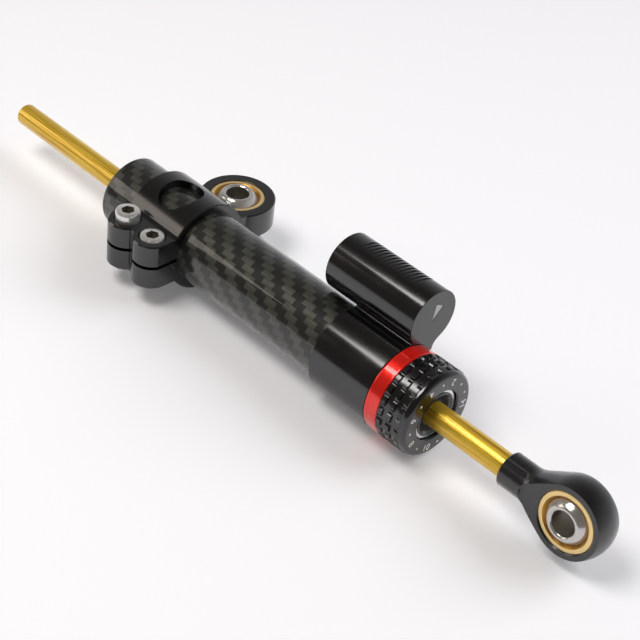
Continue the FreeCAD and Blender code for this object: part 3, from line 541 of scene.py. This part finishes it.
# %% Finishes for the CAD pieces
finishes = {
    anodised: ["clamp_body", "reservoir_plug", "metering_sleeve", "rear_gland", "front_gland"],
    bare_aluminium: ["cylinder_liner", "reservoir_piston", "piston"],
    turned_steel: ["fill_screw", "click_spring", "piston_clips"],
    bronze: ["rear_rod_bush", "front_rod_bush"],
    ball_steel: ["click_ball"],
    spring_steel: ["knob_snap_ring"],
    enamel: ["rod_eye"],
    slide_plastic: ["piston_band"],
    rubber: ["reservoir_plug_o_ring", "reservoir_piston_o_ring", "rear_gland_o_ring", "front_gland_o_ring",
             "rear_rod_seal", "front_rod_seal", "rear_wiper", "front_wiper"],
}
for material, names in finishes.items():
    for name in names:
        nodes[name].data.materials.clear()
        nodes[name].data.materials.append(material)
print("CAD pieces with a finish:", sum(len(names) for names in finishes.values()))

# %% [markdown]
# ## Turning a ring by hand
# A lathe makes most of this damper, and extruding a circle is the same job in Blender: the circle is the
# blank's edge, each step moves it along the axis and scales it to the next diameter, and the last step comes
# back to the start, where the doubled points are merged. The outline is a short list of lengths and radii,
# as on a turner's drawing. Small chamfers are in the outline, because sharp edges never catch the light. A
# few more helpers cut, copy and finish what the lathe has made, and pick points for work by hand.

# %% Turning a ring by hand
X_AXIS = Vector((1.0, 0.0, 0.0))
DOUBLED = 0.001 * MM
BODY_SEGMENTS, POD_SEGMENTS, SMALL_SEGMENTS = 180, 120, 96


def pick(piece):
    """Selects one piece and nothing else, so that an operator acts on it alone."""
    bpy.ops.object.select_all(action="DESELECT")
    piece.select_set(True)
    bpy.context.view_layer.objects.active = piece


def put(piece, centre, direction):
    """Turns a piece made along X to its direction, moves it to its centre, and applies both."""
    turn = direction.to_track_quat("X", "Z").to_matrix().to_4x4()
    piece.matrix_world = Matrix.Translation(centre) @ turn
    pick(piece)
    bpy.ops.object.transform_apply(location=True, rotation=True, scale=True)


def close_up(merge_within=0.0):
    """Merges doubled points of the piece in edit mode, turns its faces outward and leaves edit mode."""
    bpy.ops.mesh.select_all(action="SELECT")
    if merge_within:
        bpy.ops.mesh.remove_doubles(threshold=merge_within)
    bpy.ops.mesh.normals_make_consistent(inside=False)
    bpy.ops.object.mode_set(mode="OBJECT")


def turned(name, outline, segments, centre=AXIS_POINT, direction=X_AXIS, solid=False):
    """Turns an outline of lengths and radii in millimetres into a ring, or into a solid bar."""
    bpy.ops.object.select_all(action="DESELECT")
    x, r = outline[0]
    bpy.ops.mesh.primitive_circle_add(vertices=segments, radius=r * MM, location=(x * MM, 0, 0),
                                      rotation=(0, math.pi / 2, 0), fill_type="NGON" if solid else "NOTHING")
    piece = bpy.context.object
    piece.name = name
    bpy.ops.object.transform_apply(location=True, rotation=True, scale=True)
    bpy.ops.object.mode_set(mode="EDIT")
    bpy.ops.mesh.select_all(action="SELECT")
    stops = outline[1:] if solid else outline[1:] + outline[:1]
    for next_x, next_r in stops:
        bpy.ops.mesh.extrude_region_move(TRANSFORM_OT_translate={"value": ((next_x - x) * MM, 0, 0)})
        if next_r != r:
            bpy.ops.transform.resize(value=(1, next_r / r, next_r / r), center_override=(next_x * MM, 0, 0))
        x, r = next_x, next_r
    close_up(merge_within=DOUBLED)
    put(piece, centre, direction)
    return piece


print("lathe ready; points closer than", round(DOUBLED / MM, 3), "mm count as one")

# %% Cutting, copying and finishing
# A point or face this near to a radius or length, in millimetres, counts as on it.
NEAR = 0.01


def finish_piece(piece, material, slot, body, *replaced, sharp_from=32):
    """Smooths a piece below an angle, gives it its material and body, and hides the CAD nodes it replaces."""
    pick(piece)
    bpy.ops.object.shade_smooth_by_angle(angle=math.radians(sharp_from))
    piece.data.materials.clear()
    piece.data.materials.append(material)
    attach(piece, body)
    if replaced:
        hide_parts(*replaced)
    print(piece.name, "has", len(piece.data.polygons), "faces and rides", body)


def cut(piece, tool, operation="DIFFERENCE"):
    """Cuts a piece with a tool, or joins the tool to it, and puts the tool away."""
    pick(piece)
    modifier = piece.modifiers.new("cut", "BOOLEAN")
    modifier.operation = operation
    modifier.object = tool
    bpy.ops.object.modifier_apply(modifier="cut")
    bpy.data.objects.remove(tool)


def copy_of(piece, name):
    """A copy of a finished shape, with a mesh of its own."""
    pick(piece)
    bpy.ops.object.duplicate(linked=False)
    copy = bpy.context.object
    copy.name = name
    return copy


def second_finish(piece, material, centre, direction, chosen):
    """A second material on the faces that chosen picks by their place along and out from the piece's axis."""
    piece.data.materials.append(material)
    for face in piece.data.polygons:
        away = (face.center - centre) / MM
        face.material_index = 1 if chosen(away.dot(direction), away.cross(direction).length) else 0


def select_points(piece, chosen):
    """Selects the points that chosen picks by their place, and leaves the piece in edit mode."""
    pick(piece)
    bpy.ops.object.mode_set(mode="EDIT")
    bpy.ops.mesh.select_mode(type="VERT")
    bpy.ops.mesh.select_all(action="DESELECT")
    bpy.ops.object.mode_set(mode="OBJECT")
    for vertex in piece.data.vertices:
        vertex.select = chosen(vertex.co)
    bpy.ops.object.mode_set(mode="EDIT")


print("cutter and finisher ready; they count", NEAR, "mm as near")

# %% [markdown]
# ## The carbon tube
# The tube is the damper's outer skin. Its rear end is cut square and its edge broken with a fine chamfer,
# and its front end goes into the head. It stays perfectly straight, so all of its looks come from the cloth.

# %% The carbon tube
TUBE_OUTLINE = [(-27.3, 11.9), (-27.1, 11.7), (86.5, 11.7), (86.5, 13.0), (-27.1, 13.0), (-27.3, 12.8)]
tube = turned("woven_carbon_tube", TUBE_OUTLINE, BODY_SEGMENTS)
finish_piece(tube, carbon, "carbon_fibre", "damper_body", "carbon_tube")

# %% [markdown]
# ## The head's outline
# The front head is milled from one block: a round housing for the tube, the reservoir beside it, and a neck
# that blends into both. Its outline is drawn as four arcs, the way the cutter goes round it: under the
# housing, through the small fillet, over the reservoir and back through the large fillet. Drawing the arcs
# gives fillets of the true radii, which a bevel between two round bodies would not.

# %% The head's outline
HEAD_REAR, HEAD_FRONT, HEAD_RADIUS, FRONT_CHAMFER = 77.5, 101.1, 14.8, 0.2
POD_REAR, POD_RADIUS, POD_DISTANCE, POD_DEGREES = 64.3, 9.7, 23.6, 61.6
FAR_FILLET, NEAR_FILLET = 4.5, 0.6
ROUND_STEP, FAR_FILLET_STEP, NEAR_FILLET_STEP, LEAST_STEP = 3.0, 6.0, 18.0, 0.4


def arc(centre, radius, start, end, step):
    """Points round a centre from the start angle up to the end, stopping at whole steps between them."""
    way = 1 if end > start else -1
    stops = [start]
    stop = (math.floor(start / step) + (way + 1) // 2) * step
    while (end - stop) * way > LEAST_STEP:
        if abs(stop - start) > LEAST_STEP:
            stops.append(stop)
        stop += way * step
    return [Vector((0.0, centre[0] + radius * math.cos(math.radians(a)),
                    centre[1] + radius * math.sin(math.radians(a)))) * MM for a in stops]


def neck_fillet(radius, side):
    """A neck fillet's centre, and the angles from there to the housing and to the reservoir."""
    up = (POD_DISTANCE ** 2 + (HEAD_RADIUS + radius) ** 2 - (POD_RADIUS + radius) ** 2) / (2 * POD_DISTANCE)
    out = math.sqrt((HEAD_RADIUS + radius) ** 2 - up ** 2) * side
    return (out, up), math.degrees(math.atan2(-up, -out)), math.degrees(math.atan2(POD_DISTANCE - up, -out))


far_centre, far_to_head, far_to_pod = neck_fillet(FAR_FILLET, 1)
near_centre, near_to_head, near_to_pod = neck_fillet(NEAR_FILLET, -1)
head_outline = (arc((0, 0), HEAD_RADIUS, far_to_head + 180, near_to_head - 180, ROUND_STEP)
                + arc(near_centre, NEAR_FILLET, near_to_head, near_to_pod, NEAR_FILLET_STEP)
                + arc((0, POD_DISTANCE), POD_RADIUS, near_to_pod + 180, far_to_pod - 180, ROUND_STEP)
                + arc(far_centre, FAR_FILLET, far_to_pod, far_to_head + 360, FAR_FILLET_STEP))
print("the head's outline has", len(head_outline), "points")

# %% Extrude the head and join the reservoir's rear part
# The outline is drawn with the reservoir straight above the housing, and leaned over afterwards. The
# reservoir's rear part is let into the blank, a hair thinner there, so that no two faces coincide.
POD_CHAMFER, LET_IN, LET_IN_THINNER = 0.4, 1.5, 0.1
bpy.ops.object.select_all(action="DESELECT")
bpy.ops.mesh.primitive_plane_add(size=MM)
head = bpy.context.object
head.name = "milled_head"
bpy.ops.object.mode_set(mode="EDIT")
bpy.ops.mesh.select_all(action="SELECT")
bpy.ops.mesh.merge(type="CENTER")
bpy.ops.transform.translate(value=head_outline[0] + X_AXIS * HEAD_REAR * MM)
for last, point in zip(head_outline, head_outline[1:]):
    bpy.ops.mesh.extrude_region_move(TRANSFORM_OT_translate={"value": point - last})
bpy.ops.mesh.select_all(action="SELECT")
bpy.ops.mesh.edge_face_add()
bpy.ops.mesh.extrude_region_move(TRANSFORM_OT_translate={"value": X_AXIS * (HEAD_FRONT - HEAD_REAR) * MM})
bpy.ops.mesh.bevel(offset=FRONT_CHAMFER * MM, segments=2, affect="EDGES")
close_up()
POD_OUTLINE = [(POD_REAR, POD_RADIUS - POD_CHAMFER), (POD_REAR + POD_CHAMFER, POD_RADIUS),
               (HEAD_REAR, POD_RADIUS), (HEAD_REAR, POD_RADIUS - LET_IN_THINNER),
               (HEAD_REAR + LET_IN, POD_RADIUS - LET_IN_THINNER)]
pod = turned("pod", POD_OUTLINE, POD_SEGMENTS, Vector((0.0, 0.0, POD_DISTANCE * MM)), solid=True)
cut(head, pod, "UNION")
head.matrix_world = (Matrix.Translation(AXIS_POINT)
                     @ Matrix.Rotation(math.radians(POD_DEGREES - 90), 4, "X"))
bpy.ops.object.transform_apply(location=True, rotation=True, scale=True)
print("head blank:", len(head.data.polygons), "faces")

# %% [markdown]
# ## Boring and milling the head
# Everything else is cut away, as on the real block. The stepped bore takes the tube and the gland, a second
# bore makes the reservoir, and a small port joins the two. The cooling grooves are one ring-shaped cutter,
# set 0.8 mm off the reservoir's centre, so that each groove fades out at both ends. It is an arc only, so it
# stays clear of the neck, and it is repeated 15 times. Last, a thin three-sided cutter engraves the index.

# %% Bore the head
TOOL_OVERRUN = 1.0
SOCKET_BORE = [(HEAD_REAR - TOOL_OVERRUN, 13.0), (86.5, 13.0), (86.5, 10.0), (98.1, 10.0), (98.1, 9.2),
               (HEAD_FRONT + TOOL_OVERRUN, 9.2)]
POD_BORE = [(POD_REAR - TOOL_OVERRUN, 7.7), (96.1, 7.7)]
PORT_BORE = [(0.0, 1.2), (POD_DISTANCE, 1.2)]
PORT_X, PORT_SEGMENTS = 92.3, 32
pod_lean = math.radians(POD_DEGREES)
TO_POD = Vector((0.0, math.cos(pod_lean), math.sin(pod_lean)))
POD_CENTRE = AXIS_POINT + TO_POD * POD_DISTANCE * MM
cut(head, turned("socket_bore", SOCKET_BORE, BODY_SEGMENTS, solid=True))
cut(head, turned("pod_bore", POD_BORE, POD_SEGMENTS, POD_CENTRE, solid=True))
port_start = AXIS_POINT + X_AXIS * PORT_X * MM
cut(head, turned("oil_port", PORT_BORE, PORT_SEGMENTS, port_start, TO_POD, solid=True))
print("bored head:", len(head.data.polygons), "faces")

# %% Mill the cooling grooves
GROOVE_START, GROOVE_WIDTH, GROOVE_DEPTH, GROOVE_PITCH, GROOVE_COUNT = 71.0, 0.8, 0.8, 1.6, 15
CUTTER_THICKNESS = 1.6
GROOVE_LEAN = 12.0
GROOVE_FROM, GROOVE_TO, ANGLE_SLACK = -63.0, 102.0, 1.0
lean = math.radians(GROOVE_LEAN)
cutter_centre = POD_CENTRE - Vector((0.0, math.cos(lean), math.sin(lean))) * GROOVE_DEPTH * MM
cutter_end = GROOVE_START + GROOVE_WIDTH
GROOVE_CUTTER = [(GROOVE_START, POD_RADIUS), (cutter_end, POD_RADIUS),
                 (cutter_end, POD_RADIUS + CUTTER_THICKNESS), (GROOVE_START, POD_RADIUS + CUTTER_THICKNESS)]
grooves = turned("groove_cutter", GROOVE_CUTTER, POD_SEGMENTS, cutter_centre)


def beyond_the_arc(place):
    """Whether a point of the cutter's ring lies outside the arc that cuts."""
    away = place - cutter_centre
    at = math.degrees(math.atan2(away.z, away.y))
    return not GROOVE_FROM - ANGLE_SLACK < at < GROOVE_TO + ANGLE_SLACK


select_points(grooves, beyond_the_arc)
bpy.ops.mesh.delete(type="VERT")
bpy.ops.mesh.select_all(action="SELECT")
bpy.ops.mesh.fill_holes(sides=4)
close_up()
row = grooves.modifiers.new("row", "ARRAY")
row.count = GROOVE_COUNT
row.use_relative_offset = False
row.use_constant_offset = True
row.constant_offset_displace = X_AXIS * GROOVE_PITCH * MM
bpy.ops.object.modifier_apply(modifier="row")
cut(head, grooves)
print("grooved head:", len(head.data.polygons), "faces")

# %% Engrave the index triangle
INDEX_LEAN = 63.7
INDEX_DEPTH = 0.25
CORNER_ROUND = 0.12


def index_triangle(name, width, length, tip_in, start, thickness):
    """A flat three-sided bar on the neck's front, whose tip lies tip_in past the reservoir's centre."""
    up = Vector((0.0, math.cos(math.radians(INDEX_LEAN)), math.sin(math.radians(INDEX_LEAN))))
    bpy.ops.object.select_all(action="DESELECT")
    bpy.ops.mesh.primitive_circle_add(vertices=3, radius=MM, fill_type="NGON")
    triangle = bpy.context.object
    triangle.name = name
    bpy.ops.object.mode_set(mode="EDIT")
    bpy.ops.mesh.select_all(action="SELECT")
    bpy.ops.transform.resize(value=(width / math.sqrt(3), length / 1.5, 1), center_override=(0, 0, 0))
    bpy.ops.mesh.bevel(offset=CORNER_ROUND * MM, segments=3, affect="VERTICES")
    bpy.ops.mesh.extrude_region_move(TRANSFORM_OT_translate={"value": (0, 0, thickness * MM)})
    close_up()
    middle = POD_CENTRE + up * (length * 2 / 3 - tip_in) * MM + X_AXIS * start * MM
    triangle.matrix_world = Matrix.Translation(middle) @ facing((-up).cross(X_AXIS), -up, X_AXIS)
    bpy.ops.object.transform_apply(location=True, rotation=True, scale=True)
    return triangle


INDEX_START = HEAD_FRONT - INDEX_DEPTH
ENGRAVED_WIDTH, ENGRAVED_LENGTH, ENGRAVED_TIP_IN = 3.76, 5.83, 0.99
cut(head, index_triangle("engraver", ENGRAVED_WIDTH, ENGRAVED_LENGTH, ENGRAVED_TIP_IN, INDEX_START,
                         INDEX_DEPTH + TOOL_OVERRUN))
print("engraved head:", len(head.data.polygons), "faces")

# %% Clean the cut edges and finish the head
# The cuts leave a few doubled points and thin slivers, which are merged, and their loose edges are deleted.
# The front chamfer stays sharp-edged, or the long faces beside it would shade as if they were bent.
HEAD_SHARP_FROM = 20
bpy.ops.object.mode_set(mode="EDIT")
bpy.ops.mesh.select_mode(type="EDGE")
bpy.ops.mesh.select_all(action="SELECT")
bpy.ops.mesh.remove_doubles(threshold=DOUBLED)
bpy.ops.mesh.select_all(action="DESELECT")
bpy.ops.mesh.select_non_manifold(extend=False, use_wire=False, use_boundary=True, use_multi_face=False,
                                 use_non_contiguous=False, use_verts=False)
bpy.ops.mesh.delete(type="EDGE")
bpy.ops.mesh.select_mode(type="VERT")
close_up()
finish_piece(head, anodised, "black_anodised", "damper_body", "head_block", sharp_from=HEAD_SHARP_FROM)

# %% [markdown]
# ## The red ring
# A plain ring of red anodised aluminium shows between the head and the knob. The click stop's ball sits in a
# pocket of its front face, so the pocket is a round hole there. A boolean cut makes it, as a drill would.

# %% The red ring
# The doubled stops beside the chamfers keep the long face's shading straight.
RING_OUTLINE = [(101.1, 9.2), (101.1, 14.4), (101.35, 14.72), (101.6, 14.8), (101.75, 14.8), (105.75, 14.8),
                (105.9, 14.8), (106.2, 14.68), (106.3, 14.5), (106.3, 9.2)]
POCKET_RADIUS_MM, POCKET_FROM_AXIS_MM = 1.25, 12.0
DRILL_MIDDLE_MM, DRILL_LENGTH_MM = 105.9, 8.8
red_ring = turned("red_anodised_ring", RING_OUTLINE, BODY_SEGMENTS)
bpy.ops.object.select_all(action="DESELECT")
bpy.ops.mesh.primitive_cylinder_add(vertices=24, radius=POCKET_RADIUS_MM * MM, depth=DRILL_LENGTH_MM * MM,
                                    location=(DRILL_MIDDLE_MM * MM, AXIS_Y + POCKET_FROM_AXIS_MM * MM, 0),
                                    rotation=(0, math.pi / 2, 0))
cut(red_ring, bpy.context.object)
finish_piece(red_ring, red_anodised, "red_anodised", "damper_body", "adjuster_collar")

# %% [markdown]
# ## The adjuster knob
# The rider turns this knob to make the damper stiffer. It is a turned ring with two grooves, and a milling
# cutter has gone over its three lands 24 times, leaving shallow round notches for the fingers. Its front edge
# is rounded, and a recess in its face holds the snap ring. So it is turned first, from a circle with twelve
# points per notch, and then the points of each notch are pulled in towards the axis, on the lands only.

# %% Turn the knob
KNOB_START, KNOB_END, LAND, GROOVE_FLOOR = 106.4, 117.5, 14.9, 14.25
knob_outline = [(KNOB_START, 9.1), (KNOB_START, 10.8), (107.0, 10.8), (107.0, 13.2), (KNOB_START, 13.2),
                (KNOB_START, 14.7), (106.6, LAND), (108.1, LAND), (108.3, GROOVE_FLOOR),
                (109.95, GROOVE_FLOOR), (110.15, LAND), (111.65, LAND), (111.85, GROOVE_FLOOR),
                (113.5, GROOVE_FLOOR), (113.7, LAND), (115.2, LAND), (115.4, 14.6)]
RIM_START, RIM_LENGTH, RIM_RADIUS, RIM_HEIGHT, RIM_STEPS = 115.7, 1.8, 14.6, 1.5, 8
for count in range(RIM_STEPS + 1):
    lean = math.pi / 2 * count / RIM_STEPS
    knob_outline.append((RIM_START + RIM_LENGTH * math.sin(lean),
                         RIM_RADIUS - RIM_HEIGHT * (1 - math.cos(lean))))
knob_outline += [(KNOB_END, 9.05), (117.3, 8.8), (115.4, 8.8), (115.4, 7.7), (108.9, 7.7), (108.9, 9.1)]
TOOTH_COUNT, POINTS_PER_TOOTH = 24, 12
knob = turned("adjuster_knob_body", knob_outline, TOOTH_COUNT * POINTS_PER_TOOTH)
print("knob blank:", len(knob.data.vertices), "points")

# %% Mill the finger notches
NOTCH_AT_DEGREES = 13.75
NOTCH_RADII = {0: 14.35, 1: 14.40, 2: 14.59}
tooth_angle = 360 / TOOTH_COUNT
point_angle = tooth_angle / POINTS_PER_TOOTH


def in_a_notch(place, points_off):
    """Whether a point of a land is so many points away from the middle of its notch."""
    out = Vector((place.y - AXIS_Y, place.z)) / MM
    degrees = math.degrees(math.atan2(out.y, out.x)) - NOTCH_AT_DEGREES
    off = abs((degrees + tooth_angle / 2) % tooth_angle - tooth_angle / 2)
    return abs(out.length - LAND) < NEAR and abs(off - points_off * point_angle) < point_angle / 3


for points_off, notch_radius in NOTCH_RADII.items():
    select_points(knob, lambda place: in_a_notch(place, points_off))
    pull = notch_radius / LAND
    bpy.ops.transform.resize(value=(1, pull, pull), center_override=(KNOB_START * MM, AXIS_Y, 0))
    bpy.ops.object.mode_set(mode="OBJECT")
finish_piece(knob, anodised, "black_anodised", "adjuster", "adjuster_knob")

# %% [markdown]
# ## The dial
# The knob has fifteen clicks, 24 degrees apart. The even ones are numbered on its face and the odd ones have
# a dot. The marks are white paint in shallow engraving. They are set as text, turned so that each number's
# top points at the rod, and made a mesh before they are placed.

# %% The dial
CLICK_COUNT, CLICK_ANGLE, SECOND_CLICK_DEGREES = 15, 24.0, 65.8
MARK_CIRCLE_MM = 11.7
DIGIT_SIZE_MM, STROKE_SPREAD_MM, DOT_RADIUS_MM, PAINT_MM = 3.3, 0.04, 0.42, 0.03
FOLD_MM = 0.006
marks = []
for click in range(1, CLICK_COUNT + 1):
    at = math.radians(SECOND_CLICK_DEGREES + CLICK_ANGLE * (click - 2))
    outward = Vector((0.0, math.cos(at), math.sin(at)))
    bpy.ops.object.select_all(action="DESELECT")
    if click % 2 == 0:
        bpy.ops.object.text_add()
        mark = bpy.context.object
        mark.data.body = str(click)
        mark.data.size = DIGIT_SIZE_MM * MM
        mark.data.align_x = "CENTER"
        mark.data.align_y = "CENTER"
        mark.data.offset = STROKE_SPREAD_MM * MM
        mark.data.extrude = PAINT_MM * MM / 2
        bpy.ops.object.convert(target="MESH")
        mark = bpy.context.object
    else:
        bpy.ops.mesh.primitive_circle_add(vertices=20, radius=DOT_RADIUS_MM * MM, fill_type="NGON",
                                          location=(0, 0, -PAINT_MM * MM / 2))
        mark = bpy.context.object
        bpy.ops.object.mode_set(mode="EDIT")
        bpy.ops.mesh.extrude_region_move(TRANSFORM_OT_translate={"value": (0, 0, PAINT_MM * MM)})
        close_up()
    spot = AXIS_POINT + X_AXIS * KNOB_END * MM + outward * MARK_CIRCLE_MM * MM
    mark.matrix_world = Matrix.Translation(spot) @ facing((-outward).cross(X_AXIS), -outward, X_AXIS)
    marks.append(mark)
pick(marks[0])
for mark in marks:
    mark.select_set(True)
bpy.ops.object.join()
bpy.ops.object.transform_apply(location=True, rotation=True, scale=True)
dial = bpy.context.object
dial.name = "dial_numbers"
# A few corners of the digits fold over themselves by some microns, and merging closes them.
bpy.ops.object.mode_set(mode="EDIT")
close_up(merge_within=FOLD_MM * MM)
finish_piece(dial, dial_paint, None, "adjuster")

# %% [markdown]
# ## The pointer
# A small triangle on the flat front of the neck points at the knob's number. On the real part it is bright
# metal in the black face. The engraving is already there, and a thin pale plate fills its floor.

# %% The pointer
PLATE_WIDTH, PLATE_LENGTH, PLATE_TIP_IN, PLATE_THICKNESS = 3.6, 5.6, 0.88, 0.12
pointer = index_triangle("pointer_mark", PLATE_WIDTH, PLATE_LENGTH, PLATE_TIP_IN, INDEX_START,
                         PLATE_THICKNESS)
finish_piece(pointer, bare_mark, None, "damper_body")

# %% [markdown]
# ## The rod
# The rod is one ground bar that runs right through the damper, so the oil it pushes out on one side is
# taken up on the other. Its free tip is chamfered to go through the seals without cutting them. Two narrow
# grooves, hidden inside, hold the clips that keep the piston in its place.

# %% The rod
ROD_OUTLINE = [(-90.2, 3.2), (-90.0, 3.5), (-89.8, 3.8), (-89.4, 4.0), (-89.2, 4.0), (15.5, 4.0),
               (15.5, 3.5), (16.5, 3.5), (16.5, 4.0), (24.5, 4.0), (24.5, 3.5), (25.5, 3.5), (25.5, 4.0),
               (158.5, 4.0)]
rod = turned("gold_rod", ROD_OUTLINE, SMALL_SEGMENTS, solid=True)
finish_piece(rod, gold_rod, "gold_coated_rod", "rod", "damper_rod")

# %% [markdown]
# ## The two spherical bearings
# Each bearing is a ball in a ring. The ball is ground flat at both ends and drilled for an 8 mm bolt, and
# the ring is hollowed to fit it, so the bolt can lean. Both bearings are the same size, so one is turned and
# copied, and each is then laid in its own bolt's direction. The bore is duller than the rest, and the bore
# and the seat are darker, which is painted shade.

# %% The two spherical bearings
BALL_RADIUS_MM, BALL_HALF_MM, BORE_MM = 7.9375, 6.0, 4.0
FLAT_EDGE_MM, BALL_CURVE_HALF_MM, BALL_STEPS = 5.02, 5.9, 14
ball_outline = [(-5.5, BORE_MM), (-5.85, BORE_MM + 0.3), (-BALL_HALF_MM, BORE_MM + 0.6),
                (-BALL_HALF_MM, FLAT_EDGE_MM)]
for count in range(-BALL_STEPS, BALL_STEPS + 1):
    x = BALL_CURVE_HALF_MM * count / BALL_STEPS
    ball_outline.append((x, math.sqrt(BALL_RADIUS_MM ** 2 - x ** 2)))
ball_outline += [(BALL_HALF_MM, FLAT_EDGE_MM), (BALL_HALF_MM, BORE_MM + 0.6), (5.85, BORE_MM + 0.3),
                 (5.5, BORE_MM)]
SEAT_RADIUS_MM, SEAT_HALF_MM, SEAT_STEPS = 7.9675, 3.5, 10
RACE_HALF_MM, RACE_RADIUS_MM, RACE_LIP_MM = 4.5, 9.5, 8.0
race_outline = [(-RACE_HALF_MM, RACE_LIP_MM), (-RACE_HALF_MM, 9.1), (-4.38, 9.35), (-4.1, RACE_RADIUS_MM),
                (4.1, RACE_RADIUS_MM), (4.38, 9.35), (RACE_HALF_MM, 9.1), (RACE_HALF_MM, RACE_LIP_MM),
                (4.42, 7.86)]
for count in range(-SEAT_STEPS, SEAT_STEPS + 1):
    x = -SEAT_HALF_MM * count / SEAT_STEPS
    race_outline.append((x, math.sqrt(SEAT_RADIUS_MM ** 2 - x ** 2)))
race_outline.append((-4.42, 7.86))
print("ball outline:", len(ball_outline), "stops; ring outline:", len(race_outline), "stops")

# %% Turn the bearings and lay them in place
BORE_FACES_WITHIN = BORE_MM + NEAR
SEAT_FACES_WITHIN, SEAT_FACES_HALF = SEAT_RADIUS_MM, RACE_HALF_MM - 3 * NEAR
EYE_LEAN = math.radians(85)
EYE_CENTRE = Vector((170.05 * MM, AXIS_Y, 0.0))
EYE_DIRECTION = Vector((0.0, -math.sin(EYE_LEAN), math.cos(EYE_LEAN)))
FRAME_CENTRE = Vector((0.0, 0.0, 0.0))
FRAME_DIRECTION = Vector((0.0, 0.0, 1.0))
frame_ball = turned("frame_bearing_ball", ball_outline, SMALL_SEGMENTS, FRAME_CENTRE)
frame_race = turned("frame_bearing_race", race_outline, SMALL_SEGMENTS, FRAME_CENTRE)
eye_ball = copy_of(frame_ball, "eye_bearing_ball")
eye_race = copy_of(frame_race, "eye_bearing_race")
for ball, race, centre, direction, ball_body, race_body, ball_node, race_node in (
        (frame_ball, frame_race, FRAME_CENTRE, FRAME_DIRECTION, "frame_bearing_ball", "damper_body",
         "frame_ball", "frame_race"),
        (eye_ball, eye_race, EYE_CENTRE, EYE_DIRECTION, "rod_end_ball", "rod", "eye_ball", "eye_race")):
    put(ball, centre, direction)
    finish_piece(ball, ball_steel, "bearing_steel", ball_body, ball_node)
    # The bore's faces get the darker, duller steel: painted shade inside the bore.
    second_finish(ball, shaded_hole_steel, centre, direction, lambda along, out: out < BORE_FACES_WITHIN)
    put(race, centre, direction)
    finish_piece(race, race_gold, "gold_race", race_body, race_node)
    second_finish(race, shaded_race_seat, centre, direction,
                  lambda along, out: out < SEAT_FACES_WITHIN and abs(along) < SEAT_FACES_HALF)

# %% [markdown]
# ## The clamp screws
# Two socket-head screws pull the split clamp tight. Their heads are knurled round the side, so that fingers
# can start them, and a six-sided socket takes the key. The rear screw stands 2.6 mm turned out, as the
# photograph shows. One is turned from an outline, every other line of its side is pulled in for the knurl, a
# six-sided cutter makes its socket, and the second is a copy.

# %% The clamp screws
KNURL_RADIUS_MM, KNURL_LINES, KNURL_PULL = 4.15, 96, 0.97
HEAD_TOP_MM = 8.95
SCREW_OUTLINE = [(-6.6, 2.1), (-6.2, 2.5), (3.95, 2.5), (3.95, 3.9), (4.1, KNURL_RADIUS_MM),
                 (8.1, KNURL_RADIUS_MM), (8.5, 4.05), (8.8, 3.85), (HEAD_TOP_MM, 3.5)]
front_screw = turned("front_clamp_screw", SCREW_OUTLINE, KNURL_LINES, FRAME_CENTRE, solid=True)


def low_in_the_knurl(place):
    """Whether a point of the head's side lies on every other line."""
    out = Vector((place.y, place.z)) / MM
    line = round(math.degrees(math.atan2(out.y, out.x)) / (360 / KNURL_LINES))
    return abs(out.length - KNURL_RADIUS_MM) < NEAR and line % 2 == 0


select_points(front_screw, low_in_the_knurl)
bpy.ops.transform.resize(value=(1, KNURL_PULL, KNURL_PULL), center_override=(0, 0, 0))
bpy.ops.object.mode_set(mode="OBJECT")
print("screw blank:", len(front_screw.data.vertices), "points")

# %% Cut the key socket and copy the screw
KEY_WIDTH_MM, SOCKET_DEPTH_MM, SOCKET_REACH_MM = 4.0, 2.6, 2.32
FRONT_SCREW_AT, REAR_SCREW_AT = (6.4, 0.0), (-6.4, 2.6)
SCREW_Y_MM = -42.63
SOCKET_FLOOR_MM = 6.3
bpy.ops.object.select_all(action="DESELECT")
bpy.ops.mesh.primitive_cylinder_add(vertices=6, radius=KEY_WIDTH_MM / math.sqrt(3) * MM,
                                    depth=2 * SOCKET_DEPTH_MM * MM, location=(HEAD_TOP_MM * MM, 0, 0),
                                    rotation=(0, math.pi / 2, 0))
cut(front_screw, bpy.context.object)
rear_screw = copy_of(front_screw, "rear_clamp_screw")
for screw, (screw_x, turned_out) in ((front_screw, FRONT_SCREW_AT), (rear_screw, REAR_SCREW_AT)):
    spot = Vector((screw_x, SCREW_Y_MM, turned_out)) * MM
    put(screw, spot, FRAME_DIRECTION)
    finish_piece(screw, screw_steel, "stainless", "damper_body", "clamp_screws")
    # The socket's faces get the darker, duller steel: painted shade inside the socket.
    second_finish(screw, shaded_hole_steel, spot, FRAME_DIRECTION,
                  lambda along, out: out < SOCKET_REACH_MM and SOCKET_FLOOR_MM < along < HEAD_TOP_MM - NEAR)

# %% [markdown]
# ## The CAD model's box
# The looks may not change the size, so the CAD model's box is printed.

# %% The CAD model's box
print("CAD box", [[round(v, 5) for v in corner] for corner in cad_box])
